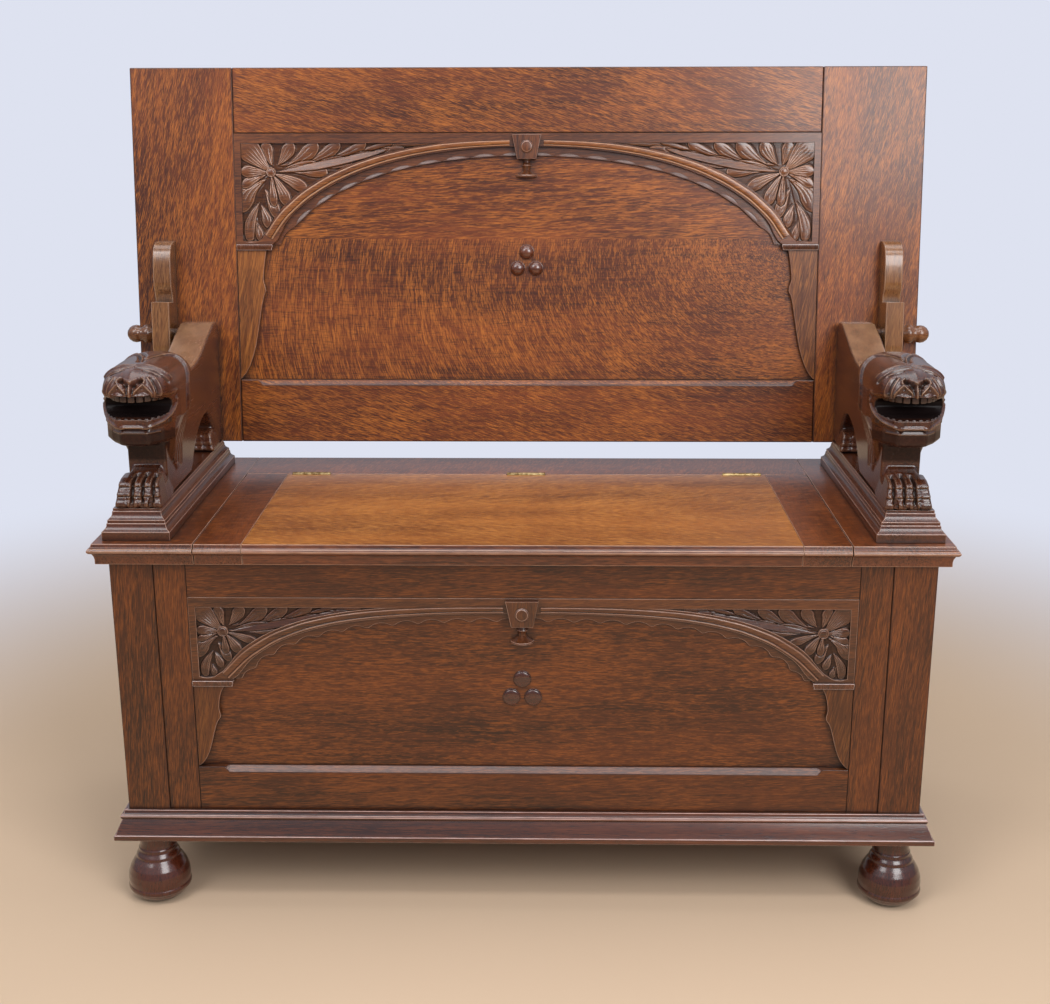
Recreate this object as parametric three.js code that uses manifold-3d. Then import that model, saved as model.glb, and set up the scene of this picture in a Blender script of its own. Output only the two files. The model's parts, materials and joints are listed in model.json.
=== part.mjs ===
// A carved oak monks bench: a chest with a hinged seat lid, two lion arms, and a framed back
// that tips forward on two pegs to lie across the arms as a table top.
// Millimetres, +Z up, -Y to the front. The origin is on the floor under the middle of the whole piece.
import * as THREE from "three";
import { mergeVertices } from "three/addons/utils/BufferGeometryUtils.js";
import Module from "manifold-3d";

const wasm = await Module();
wasm.setup();

// Seat and chest
const seatWidth = 1010;
const seatDepth = 415.5;
const seatHeight = 475.5;
const seatThickness = 25.5;
const seatOverhang = 19.6;
const seatRearOverhang = 6;
const seatEndWidth = 123;
const lidWidth = seatWidth - 2 * seatEndWidth;
const lidCleatWidth = 56;
const hingeSetback = 325;
const lidSideGap = 1;
const postWidth = 51;
const postDepth = 45;
const stileWidth = 38;
const topRailHeight = 45;
const bottomRailVisible = 56;
const frameThickness = 22;
const frameSetIn = 1.5;
const panelSetIn = 9;
const chestPanelThickness = 9;
const tongueLength = 6;
const backBoardThickness = 14;
const bottomBoardThickness = 12;
const bottomBoardLift = 20;

// Base
const footHeight = 93;
const footDiameter = 78;
const baseMouldingHeight = 36.5;
const baseMouldingOverhang = 17;

// Tilting top
const topWidth = 1067;
const topDepth = 504;
const topThickness = 25;
const topCleatWidth = 137.5;
const topRailWidth = 86;
const topPanelThickness = 16;
const leanAngle = THREE.MathUtils.degToRad(7);
const pivotSetback = 376.1;
const pivotStandoff = 16.5;
const topBelowPivot = 150;

// Arms
const armCentre = 447;
const armThickness = 46;
const armHeight = 201;
const legSetback = 77;
const plinthCentre = 450.5;
const plinthWidth = 80;
const plinthTopWidth = 56;
const plinthHeight = 36;
const plinthSetback = 18;
const headWidth = 90;
const headLength = 132;
const headHeight = 91.7;
const headSetback = 20;
const headBedding = 3;
const neckLength = 70;
const bodyArris = 2;
const pawWidth = 56;
const pawLength = 84;
const pawHeight = 34;
const pawSetback = 25;
const rearPawSetback = 300;
const rearPawHeight = 26;
const rearPawLength = 62;
const pegBallDiameter = 24;
const pegBallCentre = 533.5;
const pegShankDiameter = 16;
const pegCollarDiameter = 25;
const pegInArm = 26;
const toeGroove = 1.6;
const toeArris = 1.2;
const runnerThickness = 24;
const runnerCentre = 492;
const runnerAbovePivot = 125;
const runnerBelowPivot = 40;
const runnerLobe = 31;
const runnerBoss = 47;
const runnerArris = 0.8;

// Arcade trim, used on the chest front and on the top
const capitalHeight = 7.5;
const capitalLength = 49;
const capitalProud = 3;
const archThickness = 5.5;
const scallopThickness = 3;
const spandrelSink = 2.2;
const archBandWidth = 17.5;
const archBandTip = 9;
const trimTopStrip = 13;
const trimSideStrip = 9;
const scallopDrop = 12;
const scallopBite = 4.5;
const pilasterThickness = 7;
const pilasterWidth = 38;
const keystoneWidth = 39;
const keystoneProud = 12.5;
const keystoneBossDiameter = 17;
const pendantDiameter = 29;
const keystoneHeightShare = 0.82;
const pendantDropShare = 0.86;
const chamferWidth = 7;
const chamferStop = 12;
const chestBossDiameter = 20;
const chestBossHeight = 4;
const topBossDiameter = 19;
const topBossHeight = 8;

// Hinges of the lid
const hingeLength = 52;
const hingeInset = 89;
const hingeLeafHeight = 18;
const hingeLeafThickness = 1.5;
const knuckleRadius = 2.6;
const hingePinRadius = 1.1;
const knuckleCount = 5;
const hingeGap = 0.6;

// Gaps: between neighbouring boards, round turned parts, and between the top and the arms
const fit = 0.3;
const run = 0.3;
const topGap = 0.3;
const overrun = 5;

// Facets
const turnedSides = 16;
const smallSides = 10;
const hingeSides = 8;
const curveSteps = 10;

// Heights and places worked out from the sizes above
const chestTop = seatHeight - seatThickness;
const chestHalf = seatWidth / 2 - seatOverhang;
const plinthTop = seatHeight + plinthHeight;
const armTop = seatHeight + armHeight;
const pivotZ = armTop - pivotStandoff;
const faceOffset = pivotStandoff + topGap;
const topAbovePivot = topDepth - topBelowPivot;
const overallDepth =
  pivotSetback +
  (faceOffset + topThickness) * Math.cos(leanAngle) +
  topAbovePivot * Math.sin(leanAngle);
const frontY = -overallDepth / 2;
const chestFront = frontY + seatOverhang;
const chestRear = frontY + seatDepth - seatRearOverhang;
const hingeY = frontY + hingeSetback;
const pivotY = frontY + pivotSetback;
const postInner = chestHalf - postWidth;
const openingHalf = postInner - stileWidth;
const openingTop = chestTop - topRailHeight;
const openingBottom = footHeight + baseMouldingHeight - fit + bottomRailVisible;
const frameFront = chestFront + frameSetIn;

// Where the face of the leaning top stands at a given height, less its gap to the arms.
const leaningY = (z) => pivotY + (pivotStandoff + (z - pivotZ) * Math.sin(leanAngle)) / Math.cos(leanAngle);

const oak = (color, roughness) => new THREE.MeshStandardMaterial({ color, roughness, metalness: 0 });
const frameOak = oak(0x5d3219, 0.45);
const panelOak = oak(0x6a391b, 0.42);
const carvedOak = oak(0x4a2513, 0.4);
const goldenOak = oak(0x96602c, 0.38);
const turnedOak = oak(0x34170e, 0.25);
const insideOak = oak(0x7a5230, 0.7);
const hingeBrass = new THREE.MeshStandardMaterial({ color: 0x8a6a35, roughness: 0.45, metalness: 0.9 });

// Solids

// A closed geometry as a solid, turned the right way out.
function solid(geometry) {
  const bare = geometry.index ? geometry.toNonIndexed() : geometry.clone();
  for (const name of Object.keys(bare.attributes)) {
    if (name !== "position") bare.deleteAttribute(name);
  }
  const merged = mergeVertices(bare, 1e-4);
  const source = merged.index.array;
  const kept = [];
  for (let i = 0; i < source.length; i += 3) {
    const [a, b, c] = [source[i], source[i + 1], source[i + 2]];
    if (a !== b && b !== c && c !== a) kept.push(a, b, c);
  }
  const build = (triangles) =>
    new wasm.Manifold(
      new wasm.Mesh({
        numProp: 3,
        vertProperties: merged.attributes.position.array,
        triVerts: new Uint32Array(triangles),
      }),
    );
  const first = build(kept);
  if (first.volume() > 0) return first;
  for (let i = 0; i < kept.length; i += 3) [kept[i + 1], kept[i + 2]] = [kept[i + 2], kept[i + 1]];
  return build(kept);
}

function geometryOf(made) {
  const mesh = made.getMesh();
  const places = new Float32Array(mesh.numVert * 3);
  for (let i = 0; i < mesh.numVert; i++) {
    places.set(mesh.vertProperties.subarray(i * mesh.numProp, i * mesh.numProp + 3), i * 3);
  }
  const geometry = new THREE.BufferGeometry();
  geometry.setAttribute("position", new THREE.BufferAttribute(places, 3));
  geometry.setIndex(new THREE.BufferAttribute(mesh.triVerts, 1));
  geometry.computeVertexNormals();
  return geometry;
}

const join = (...solids) => solids.reduce((sum, next) => sum.add(next));
const cut = (body, ...tools) => tools.reduce((left, tool) => left.subtract(tool), body);

function block([x0, x1], [y0, y1], [z0, z1]) {
  const box = new THREE.BoxGeometry(x1 - x0, y1 - y0, z1 - z0);
  return solid(box.translate((x0 + x1) / 2, (y0 + y1) / 2, (z0 + z1) / 2));
}

// A section carried through stations: each station is a function that places a section point in space.
function sweep(section, stations) {
  const count = section.length;
  const places = stations.flatMap((place) => section.map((point) => place(point)));
  const triangles = [];
  for (let s = 0; s + 1 < stations.length; s++) {
    for (let i = 0; i < count; i++) {
      const [a, b] = [s * count + i, s * count + ((i + 1) % count)];
      triangles.push(a, b, b + count, a, b + count, a + count);
    }
  }
  const last = (stations.length - 1) * count;
  for (const [a, b, c] of THREE.ShapeUtils.triangulateShape(section, [])) {
    triangles.push(a, c, b, last + a, last + b, last + c);
  }
  const geometry = new THREE.BufferGeometry();
  geometry.setAttribute("position", new THREE.Float32BufferAttribute(places.flat(), 3));
  geometry.setIndex(triangles);
  return solid(geometry);
}

// An outline drawn in (x, height), given a thickness towards the back from y0 to y1.
function plate(outline, y0, y1) {
  const shape = new THREE.Shape(outline);
  const geometry = new THREE.ExtrudeGeometry(shape, { depth: y1 - y0, bevelEnabled: false });
  return solid(geometry.rotateX(Math.PI / 2).translate(0, y1, 0));
}

// An outline drawn in (y, height), given a thickness across x, centred, with its arrises taken off.
function profileAcross(outline, thickness, arris) {
  const geometry = new THREE.ExtrudeGeometry(new THREE.Shape(outline), {
    depth: thickness - 2 * arris,
    bevelEnabled: arris > 0,
    bevelSize: arris,
    bevelOffset: -arris,
    bevelThickness: arris,
    bevelSegments: 1,
  });
  geometry.translate(0, 0, -thickness / 2 + arris);
  geometry.applyMatrix4(new THREE.Matrix4().set(0, 0, 1, 0, 1, 0, 0, 0, 0, 1, 0, 0, 0, 0, 0, 1));
  return solid(geometry);
}

// A turned piece on the Z axis: a profile of (radius, height) from the axis back to the axis.
const turned = (profile, sides = turnedSides) =>
  solid(new THREE.LatheGeometry(profile, sides).rotateX(Math.PI / 2));

function rod(radius, x0, x1, sides = smallSides) {
  const geometry = new THREE.CylinderGeometry(radius, radius, x1 - x0, sides);
  return solid(geometry.rotateZ(Math.PI / 2).translate((x0 + x1) / 2, 0, 0));
}

function ball(centre, radii, around, up) {
  const geometry = new THREE.SphereGeometry(1, around, up).rotateX(Math.PI / 2);
  return solid(geometry.scale(...radii).translate(...centre));
}

// A board with moulded edges: the profile gives (outward offset, height) from bottom to top,
// and only the named sides follow the offset.
function mouldedBoard([x0, x1], [y0, y1], profile, sides) {
  const corners = [
    new THREE.Vector2(-1, -1),
    new THREE.Vector2(1, -1),
    new THREE.Vector2(1, 1),
    new THREE.Vector2(-1, 1),
  ];
  const offsetFor = (side, offset) => (sides.includes(side) ? offset : 0);
  const stations = profile.map(([offset, height]) => (corner) => [
    corner.x < 0 ? x0 - offsetFor("left", offset) : x1 + offsetFor("right", offset),
    corner.y < 0 ? y0 - offsetFor("front", offset) : y1 + offsetFor("rear", offset),
    height,
  ]);
  return sweep(corners, stations);
}

// The bench

const bench = new THREE.Group();
const top = new THREE.Group();
top.position.set(0, pivotY, pivotZ);
top.rotation.x = -leanAngle;
bench.add(top);

function add(name, made, material, parent = bench) {
  const mesh = new THREE.Mesh(geometryOf(made), material);
  mesh.name = name;
  parent.add(mesh);
  return mesh;
}

const sides = [
  ["left", -1],
  ["right", 1],
];
// An outline drawn for the right half, mirrored where the side is the left one.
const onSide = (side, outline) =>
  side > 0 ? outline : outline.map((point) => new THREE.Vector2(-point.x, point.y)).reverse();
// A span of x on one side of the middle, from the inner to the outer edge.
const spanOn = (side, inner, outer) => (side > 0 ? [inner, outer] : [-outer, -inner]);

// Chest

const postTop = chestTop - fit;
const railBottom = footHeight;
const topRailBottom = openingTop;
const sidePanelSpan = [chestFront + postDepth + fit, chestRear - postDepth - fit];
const grooveDepth = tongueLength + fit;
const grooveFront = panelSetIn - fit;
const grooveRear = panelSetIn + chestPanelThickness + fit;

function chestPosts() {
  for (const [word, side] of sides) {
    const across = spanOn(side, postInner, chestHalf);
    const height = [footHeight, postTop];
    add("post_front_" + word, block(across, [chestFront, chestFront + postDepth], height), frameOak);
    add("post_back_" + word, block(across, [chestRear - postDepth, chestRear], height), frameOak);
  }
}

// A cutter for a stopped chamfer along x on the front arris of a rail's top edge.
function stoppedChamfer(halfLength, arrisY, arrisZ) {
  const section = [
    new THREE.Vector2(-overrun, overrun),
    new THREE.Vector2(-overrun, -chamferWidth),
    new THREE.Vector2(0, -chamferWidth),
    new THREE.Vector2(chamferWidth, 0),
    new THREE.Vector2(chamferWidth, overrun),
  ];
  const at = (x, sink) => (point) => [x, arrisY + point.x - sink, arrisZ + point.y + sink];
  const lift = chamferWidth;
  return sweep(section, [
    at(-halfLength - chamferStop, lift),
    at(-halfLength, 0),
    at(halfLength, 0),
    at(halfLength + chamferStop, lift),
  ]);
}

function chestFrontFrame() {
  const depth = [frameFront, frameFront + frameThickness];
  const groove = [frameFront + grooveFront, frameFront + grooveRear];
  for (const [word, side] of sides) {
    const stile = block(spanOn(side, openingHalf, postInner - fit), depth, [railBottom, postTop]);
    const slot = block(
      spanOn(side, openingHalf - overrun, openingHalf + grooveDepth),
      groove,
      [openingBottom - grooveDepth, openingTop + grooveDepth],
    );
    add("front_stile_" + word, cut(stile, slot), frameOak);
  }
  const railSpan = [-openingHalf + fit, openingHalf - fit];
  const slotSpan = [-openingHalf, openingHalf];
  const upper = block(railSpan, depth, [openingTop, postTop]);
  const upperSlot = block(slotSpan, groove, [openingTop - overrun, openingTop + grooveDepth]);
  add("front_top_rail", cut(upper, upperSlot), frameOak);
  const lower = block(railSpan, depth, [railBottom, openingBottom]);
  const lowerSlot = block(slotSpan, groove, [openingBottom - grooveDepth, openingBottom + overrun]);
  const chamfer = stoppedChamfer(openingHalf - pilasterWidth, frameFront, openingBottom);
  add("front_bottom_rail", cut(lower, lowerSlot, chamfer), frameOak);
}

// The top edge of a keystone's face under an opening's head, and the foot of its pendant.
const keystoneTop = (headroom) => headroom - fit - keystoneProud / 6;
const pendantFoot = (headroom) =>
  keystoneTop(headroom) - keystoneWidth * keystoneHeightShare - pendantDiameter * pendantDropShare;

// Three turned bosses in a triangle, standing on a panel's face towards the front.
function bosses(face, centreZ, diameter, height, domeShare) {
  const radius = diameter / 2;
  const spreadShare = 0.65;
  const riseShare = 0.58;
  const rim = height * (1 - domeShare);
  const profile = [new THREE.Vector2(0, -overrun / 2), new THREE.Vector2(radius, -overrun / 2)];
  const steps = 3;
  for (let i = 0; i < steps; i++) {
    const angle = (i / steps) * (Math.PI / 2);
    profile.push(new THREE.Vector2(radius * Math.cos(angle), rim + (height - rim) * Math.sin(angle)));
  }
  profile.push(new THREE.Vector2(0, height));
  const places = [
    [0, diameter * riseShare],
    [-diameter * spreadShare, -diameter * riseShare],
    [diameter * spreadShare, -diameter * riseShare],
  ];
  return places.map(([x, z]) => {
    const lathe = new THREE.LatheGeometry(profile, smallSides).rotateX(Math.PI);
    return solid(lathe.translate(x, face, centreZ + z));
  });
}

const chestBossPlaceShare = 0.637;
const chestBossDomeShare = 0.35;

function chestPanels() {
  const y = [frameFront + panelSetIn, frameFront + panelSetIn + chestPanelThickness];
  const across = [-openingHalf - tongueLength, openingHalf + tongueLength];
  const height = [openingBottom - tongueLength, openingTop + tongueLength];
  const bossZ = openingBottom + (pendantFoot(openingTop) - openingBottom) * chestBossPlaceShare;
  const flowers = bosses(y[0], bossZ, chestBossDiameter, chestBossHeight, chestBossDomeShare);
  const panel = join(block(across, y, height), ...flowers);
  add("front_panel", panel, panelOak);

  for (const [word, side] of sides) {
    const face = chestHalf - frameSetIn;
    const thick = spanOn(side, face - frameThickness, face);
    const slot = spanOn(side, face - grooveRear, face - grooveFront);
    const panelX = spanOn(side, face - panelSetIn - chestPanelThickness, face - panelSetIn);
    const [y0, y1] = sidePanelSpan;
    const through = [y0 - overrun, y1 + overrun];
    const rail = block(thick, [y0, y1], [openingTop, postTop]);
    const railSlot = block(slot, through, [openingTop - overrun, openingTop + grooveDepth]);
    add("side_top_rail_" + word, cut(rail, railSlot), frameOak);
    const base = block(thick, [y0, y1], [railBottom, openingBottom]);
    const baseSlot = block(slot, through, [openingBottom - grooveDepth, openingBottom + overrun]);
    add("side_bottom_rail_" + word, cut(base, baseSlot), frameOak);
    add("side_panel_" + word, block(panelX, [y0, y1], height), panelOak);
  }

  const rearFace = chestRear - frameSetIn;
  const backSpan = [-postInner + fit, postInner - fit];
  const backDepth = [rearFace - backBoardThickness, rearFace];
  add("back_board", block(backSpan, backDepth, [railBottom, postTop]), insideOak);

  const inner = chestHalf - frameSetIn - frameThickness - fit;
  const floor = block(
    [-inner, inner],
    [frameFront + frameThickness + fit, rearFace - backBoardThickness - fit],
    [footHeight + bottomBoardLift, footHeight + bottomBoardLift + bottomBoardThickness],
  );
  const notches = sides.flatMap(([, side]) => {
    const across = spanOn(side, postInner - fit, chestHalf);
    const tall = [footHeight, chestTop];
    return [
      block(across, [chestFront, chestFront + postDepth + fit], tall),
      block(across, [chestRear - postDepth - fit, chestRear], tall),
    ];
  });
  add("bottom_board", cut(floor, ...notches), insideOak);
}

// Base moulding: section points are (distance out from the chest, height), mitred at the front corners.
function baseMoulding() {
  const out = baseMouldingOverhang;
  const tall = baseMouldingHeight;
  const sectionShares = [
    [0, 0],
    [0.96, 0],
    [1, 0.04],
    [1, 0.15],
    [0.96, 0.19],
    [0.88, 0.2],
    [0.72, 0.4],
    [0.52, 0.6],
    [0.42, 0.69],
    [0.47, 0.71],
    [0.53, 0.76],
    [0.53, 0.81],
    [0.46, 0.86],
    [0.3, 0.87],
    [0.26, 1],
    [0, 1],
  ];
  const place = ([o, h]) => new THREE.Vector2(fit + o * (out - fit), footHeight + h * tall);
  const section = sectionShares.map(place);
  const corner = (side) => (point) => [side * (chestHalf + point.x), chestFront - point.x, point.y];
  add("base_moulding_front", sweep(section, [corner(-1), corner(1)]), turnedOak);
  for (const [word, side] of sides) {
    const start = (point) => [side * (chestHalf + point.x), chestFront + fit - point.x, point.y];
    const end = (point) => [side * (chestHalf + point.x), chestRear, point.y];
    add("base_moulding_" + word, sweep(section, [start, end]), turnedOak);
  }
}

function bunFeet() {
  const r = footDiameter / 2;
  const tall = footHeight - fit;
  const profileShares = [
    [0, 0],
    [0.76, 0],
    [0.9, 0.06],
    [0.95, 0.125],
    [1, 0.22],
    [0.98, 0.3],
    [0.9, 0.4],
    [0.77, 0.5],
    [0.745, 0.535],
    [0.63, 0.59],
    [0.55, 0.63],
    [0.53, 0.66],
    [0.58, 0.7],
    [0.68, 0.735],
    [0.7, 1],
    [0, 1],
  ];
  const profile = profileShares.map(([radius, height]) => new THREE.Vector2(radius * r, height * tall));
  const x = chestHalf - postWidth / 2;
  const places = [
    ["front", chestFront + postDepth / 2],
    ["back", chestRear - postDepth / 2],
  ];
  for (const [depthWord, y] of places) {
    for (const [word, side] of sides) {
      const foot = add("bun_foot_" + depthWord + "_" + word, turned(profile), turnedOak);
      foot.position.set(side * x, y, 0);
    }
  }
}

// Seat: moulding profile as (distance out from the chest, height), bottom to top.
function seatProfile() {
  const out = seatOverhang;
  const thick = seatThickness;
  const shares = [
    [0.63, 0],
    [0.63, 0.22],
    [0.66, 0.36],
    [0.76, 0.52],
    [0.91, 0.56],
    [0.99, 0.63],
    [1, 0.7],
    [0.92, 0.79],
    [0.8, 0.82],
    [0.79, 0.86],
    [0.74, 1],
  ];
  return shares.map(([o, h]) => [o * out, chestTop + h * thick]);
}

const lidHalf = lidWidth / 2;
const railFront = hingeY + hingeGap;
const lidRear = hingeY - hingeGap;
const hingePlaces = [
  ["left", hingeInset - lidHalf],
  ["middle", 0],
  ["right", lidHalf - hingeInset],
];

// The recess that a hinge needs in the two edges: leaves below, barrel at the top.
function hingeRecess(x) {
  const span = [x - hingeLength / 2 - run, x + hingeLength / 2 + run];
  const leaf = hingeLeafThickness + 2 * run;
  const barrel = knuckleRadius + 2 * run;
  return join(
    block(span, [hingeY - leaf, hingeY + leaf], [seatHeight - hingeLeafHeight - run, seatHeight + overrun]),
    block(span, [hingeY - barrel, hingeY + barrel], [seatHeight - barrel, seatHeight + overrun]),
  );
}

function seat() {
  const profile = seatProfile();
  for (const [word, side] of sides) {
    const board = mouldedBoard(
      spanOn(side, lidHalf, chestHalf),
      [chestFront, frontY + seatDepth],
      profile,
      ["front", word],
    );
    add("seat_end_" + word, board, frameOak);
  }
  const railSpan = [-lidHalf + fit, lidHalf - fit];
  const rail = block(railSpan, [railFront, frontY + seatDepth], [chestTop, seatHeight]);
  add("seat_rear_rail", cut(rail, ...hingePlaces.map(([, x]) => hingeRecess(x))), frameOak);
}

function lid() {
  const profile = seatProfile();
  const y = [chestFront, lidRear];
  const cleatInner = lidHalf - lidSideGap - lidCleatWidth;
  const centre = mouldedBoard([-cleatInner + fit, cleatInner - fit], y, profile, ["front"]);
  add("lid_panel", cut(centre, ...hingePlaces.map(([, x]) => hingeRecess(x))), goldenOak);
  for (const [word, side] of sides) {
    const span = spanOn(side, cleatInner, lidHalf - lidSideGap);
    add("lid_cleat_" + word, mouldedBoard(span, y, profile, ["front"]), frameOak);
  }
}

function lidHinges() {
  const half = hingeLength / 2;
  const pitch = hingeLength / knuckleCount;
  const barrels = [...Array(knuckleCount).keys()];
  const barrel = (i, radius, grow) => {
    const start = -half + i * pitch + fit / 2;
    return rod(radius, start - grow, start + pitch - fit + grow, hingeSides);
  };
  const fixed = barrels.filter((i) => i % 2 === 0);
  const moving = barrels.filter((i) => i % 2 === 1);
  const leafZ = [-hingeLeafHeight, 0];
  const near = fit / 2;
  const far = near + hingeLeafThickness;
  const relief = knuckleRadius + run;
  const fixedLeaf = join(
    cut(block([-half, half], [near, far], leafZ), ...moving.map((i) => barrel(i, relief, fit))),
    ...fixed.map((i) => barrel(i, knuckleRadius, 0)),
    rod(hingePinRadius, -half + fit, half - fit, hingeSides),
  );
  const movingLeaf = cut(
    join(
      cut(block([-half, half], [-far, -near], leafZ), ...fixed.map((i) => barrel(i, relief, fit))),
      ...moving.map((i) => barrel(i, knuckleRadius, 0)),
    ),
    rod(hingePinRadius + run, -half - overrun, half + overrun, hingeSides),
  );
  for (const [word, x] of hingePlaces) {
    for (const [name, made] of [
      ["hinge_fixed_leaf_", fixedLeaf],
      ["hinge_lid_leaf_", movingLeaf],
    ]) {
      add(name + word, made, hingeBrass).position.set(x, hingeY, seatHeight);
    }
  }
}

// Arcade trim. All of it is drawn for an opening: its half width, its top, and the level of its capitals.

// The curve of an arch from its springing on the right to its crown in the middle.
function archCurve(arch, steps) {
  const { halfSpan, spring, crown, x1Share, z1Share, x2Share } = arch;
  const rise = crown - spring;
  const curve = new THREE.CubicBezierCurve(
    new THREE.Vector2(halfSpan, spring),
    new THREE.Vector2(halfSpan * x1Share, spring + rise * z1Share),
    new THREE.Vector2(halfSpan * x2Share, crown),
    new THREE.Vector2(0, crown),
  );
  return curve.getSpacedPoints(steps);
}

// The same curve moved out of the opening, by a width that changes along it.
function shifted(points, widthAt) {
  return points.map((point, i) => {
    const before = points[Math.max(i - 1, 0)];
    const after = points[Math.min(i + 1, points.length - 1)];
    const along = after.clone().sub(before).normalize();
    const width = widthAt(i / (points.length - 1));
    const moved = new THREE.Vector2(point.x + along.y * width, point.y - along.x * width);
    if (i === points.length - 1) moved.x = 0;
    return moved;
  });
}

// A board across the whole opening whose lower edge follows a curve given for the right half.
function spanningOutline(arch, rightEdge) {
  const outer = arch.half - fit;
  const left = rightEdge.map((point) => new THREE.Vector2(-point.x, point.y));
  const start = rightEdge[0].x;
  return [
    new THREE.Vector2(outer, arch.spring),
    new THREE.Vector2(outer, arch.headroom - fit),
    new THREE.Vector2(-outer, arch.headroom - fit),
    new THREE.Vector2(-outer, arch.spring),
    new THREE.Vector2(-start, arch.spring),
    ...left.filter((point) => point.y > arch.spring),
    ...[...rightEdge].reverse().slice(1).filter((point) => point.y > arch.spring),
    new THREE.Vector2(start, arch.spring),
  ];
}

// The sunk ground of a spandrel, between the arch band, the top strip and the side strip.
function spandrel(arch, side, front) {
  const roof = arch.headroom - trimTopStrip;
  const floor = arch.spring + trimSideStrip / 2;
  const wall = arch.half - trimSideStrip;
  const narrowing = (share) => archBandWidth + (archBandTip - archBandWidth) * share;
  const band = shifted(archCurve(arch, curveSteps), narrowing);
  const inside = band.filter((point) => point.y > floor && point.y < roof);
  const tipAfter = band[band.indexOf(inside[inside.length - 1]) + 1];
  const last = inside[inside.length - 1];
  const reach = tipAfter ? (roof - last.y) / (tipAfter.y - last.y) : 0;
  const tip = tipAfter ? last.clone().lerp(tipAfter, reach) : last;
  const first = band[0].clone().lerp(band[1], (floor - band[0].y) / (band[1].y - band[0].y));
  const outline = [new THREE.Vector2(wall, roof), new THREE.Vector2(wall, floor), first, ...inside, tip];
  return plate(onSide(side, outline), front - overrun, front + spandrelSink);
}

function archTrim(arch, face) {
  const back = face - fit;
  const front = back - scallopThickness - archThickness;
  const arcade = plate(spanningOutline(arch, archCurve(arch, curveSteps)), front, back);
  const stepsEach = 4;
  const fine = archCurve(arch, arch.scallops * stepsEach);
  const scalloped = shifted(fine, (share) => {
    const phase = (share * arch.scallops) % 1;
    return scallopBite * Math.sin(Math.PI * phase) - scallopDrop;
  });
  const backing = plate(spanningOutline(arch, scalloped), back - scallopThickness, back);
  return cut(join(arcade, backing), spandrel(arch, 1, front), spandrel(arch, -1, front));
}

function pilaster(arch, side, face) {
  const back = face - fit;
  const capitalTop = arch.spring - fit;
  const capitalBottom = capitalTop - capitalHeight;
  const foot = arch.sill + fit;
  const tall = capitalBottom - foot;
  const at = ([w, h]) => new THREE.Vector2(arch.half - fit - w * pilasterWidth, capitalBottom - h * tall);
  const { shoulderShares, cuspShares, bellyShares } = arch;
  const upper = new THREE.QuadraticBezierCurve(...shoulderShares.map(at)).getPoints(curveSteps / 3);
  const lower = new THREE.CubicBezierCurve(...[cuspShares, ...bellyShares].map(at)).getPoints(curveSteps);
  const outline = [at([0, 0]), ...upper, ...lower];
  const shaft = plate(onSide(side, outline), back - pilasterThickness, back);
  const word = side > 0 ? "left" : "right";
  const reach = panelSetIn + capitalProud - fit;
  const capitalShares = [
    [0.55, 0],
    [0.62, 0.3],
    [0.9, 0.5],
    [1, 0.62],
    [1, 1],
  ];
  const level = (share) => capitalBottom + share * capitalHeight;
  const profile = capitalShares.map(([o, h]) => [(o - 1) * capitalProud, level(h)]);
  const inner = arch.half - fit - capitalLength;
  const across = spanOn(side, inner, arch.half - fit);
  const capital = mouldedBoard(across, [back - reach, back], profile, ["front", word]);
  return join(shaft, capital);
}

// A tapered block with a boss on its face and a half-turned pendant under it, all against the panel.
function keystone(arch, face) {
  const back = face - fit;
  const archFront = back - scallopThickness - archThickness;
  const front = archFront - fit - keystoneProud / 2;
  const half = keystoneWidth / 2;
  const tall = keystoneWidth * keystoneHeightShare;
  const topZ = keystoneTop(arch.headroom);
  const bottomZ = topZ - tall;
  const taperShare = 0.66;
  const sideAt = (z) => half * (taperShare + (1 - taperShare) * ((z - bottomZ) / tall));
  const wedge = (low, high) => [
    new THREE.Vector2(-sideAt(low), low),
    new THREE.Vector2(sideAt(low), low),
    new THREE.Vector2(sideAt(high), high),
    new THREE.Vector2(-sideAt(high), high),
  ];
  const underArch = arch.crown - scallopDrop - fit;
  const blockPart = plate(wedge(bottomZ, topZ), front, archFront - fit);
  const rearPart = plate(wedge(bottomZ, underArch), front, back);

  const r = pendantDiameter / 2;
  const drop = pendantDiameter * pendantDropShare;
  const profileShares = [
    [0, 1.06],
    [0.4, 1.06],
    [0.4, 0.98],
    [0.3, 0.86],
    [0.42, 0.76],
    [0.48, 0.68],
    [0.36, 0.58],
    [0.34, 0.42],
    [0.6, 0.26],
    [0.97, 0.16],
    [1, 0.09],
    [0.86, 0.03],
    [0, 0],
  ];
  const profile = profileShares.map(([radius, h]) => new THREE.Vector2(radius * r, h * drop)).reverse();
  const low = bottomZ - drop;
  const behind = block([-r - overrun, r + overrun], [back, back + r + overrun], [low - overrun, topZ]);
  const pendant = cut(turned(profile).translate([0, back, low]), behind);

  const bossR = keystoneBossDiameter / 2;
  const bossShares = [
    [0, -0.3],
    [1, -0.3],
    [1, 0.15],
    [0.8, 0.32],
    [0, 0.42],
  ];
  const bossProfile = bossShares.map(([radius, h]) => new THREE.Vector2(radius * bossR, h * bossR));
  const bossLathe = new THREE.LatheGeometry(bossProfile, turnedSides).rotateX(Math.PI);
  const boss = solid(bossLathe.translate(0, front, (topZ + bottomZ) / 2));
  return join(blockPart, rearPart, pendant, boss);
}

// An arcade in an opening: its half width, its head and sill, and the shares that shape it.
const arcade = (half, headroom, sill, shape) => ({
  ...shape,
  half,
  headroom,
  sill,
  spring: headroom - (headroom - sill) * shape.springShare,
  crown: headroom - trimTopStrip * shape.crownShare,
  halfSpan: half - capitalLength * shape.spanShare,
});

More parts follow.
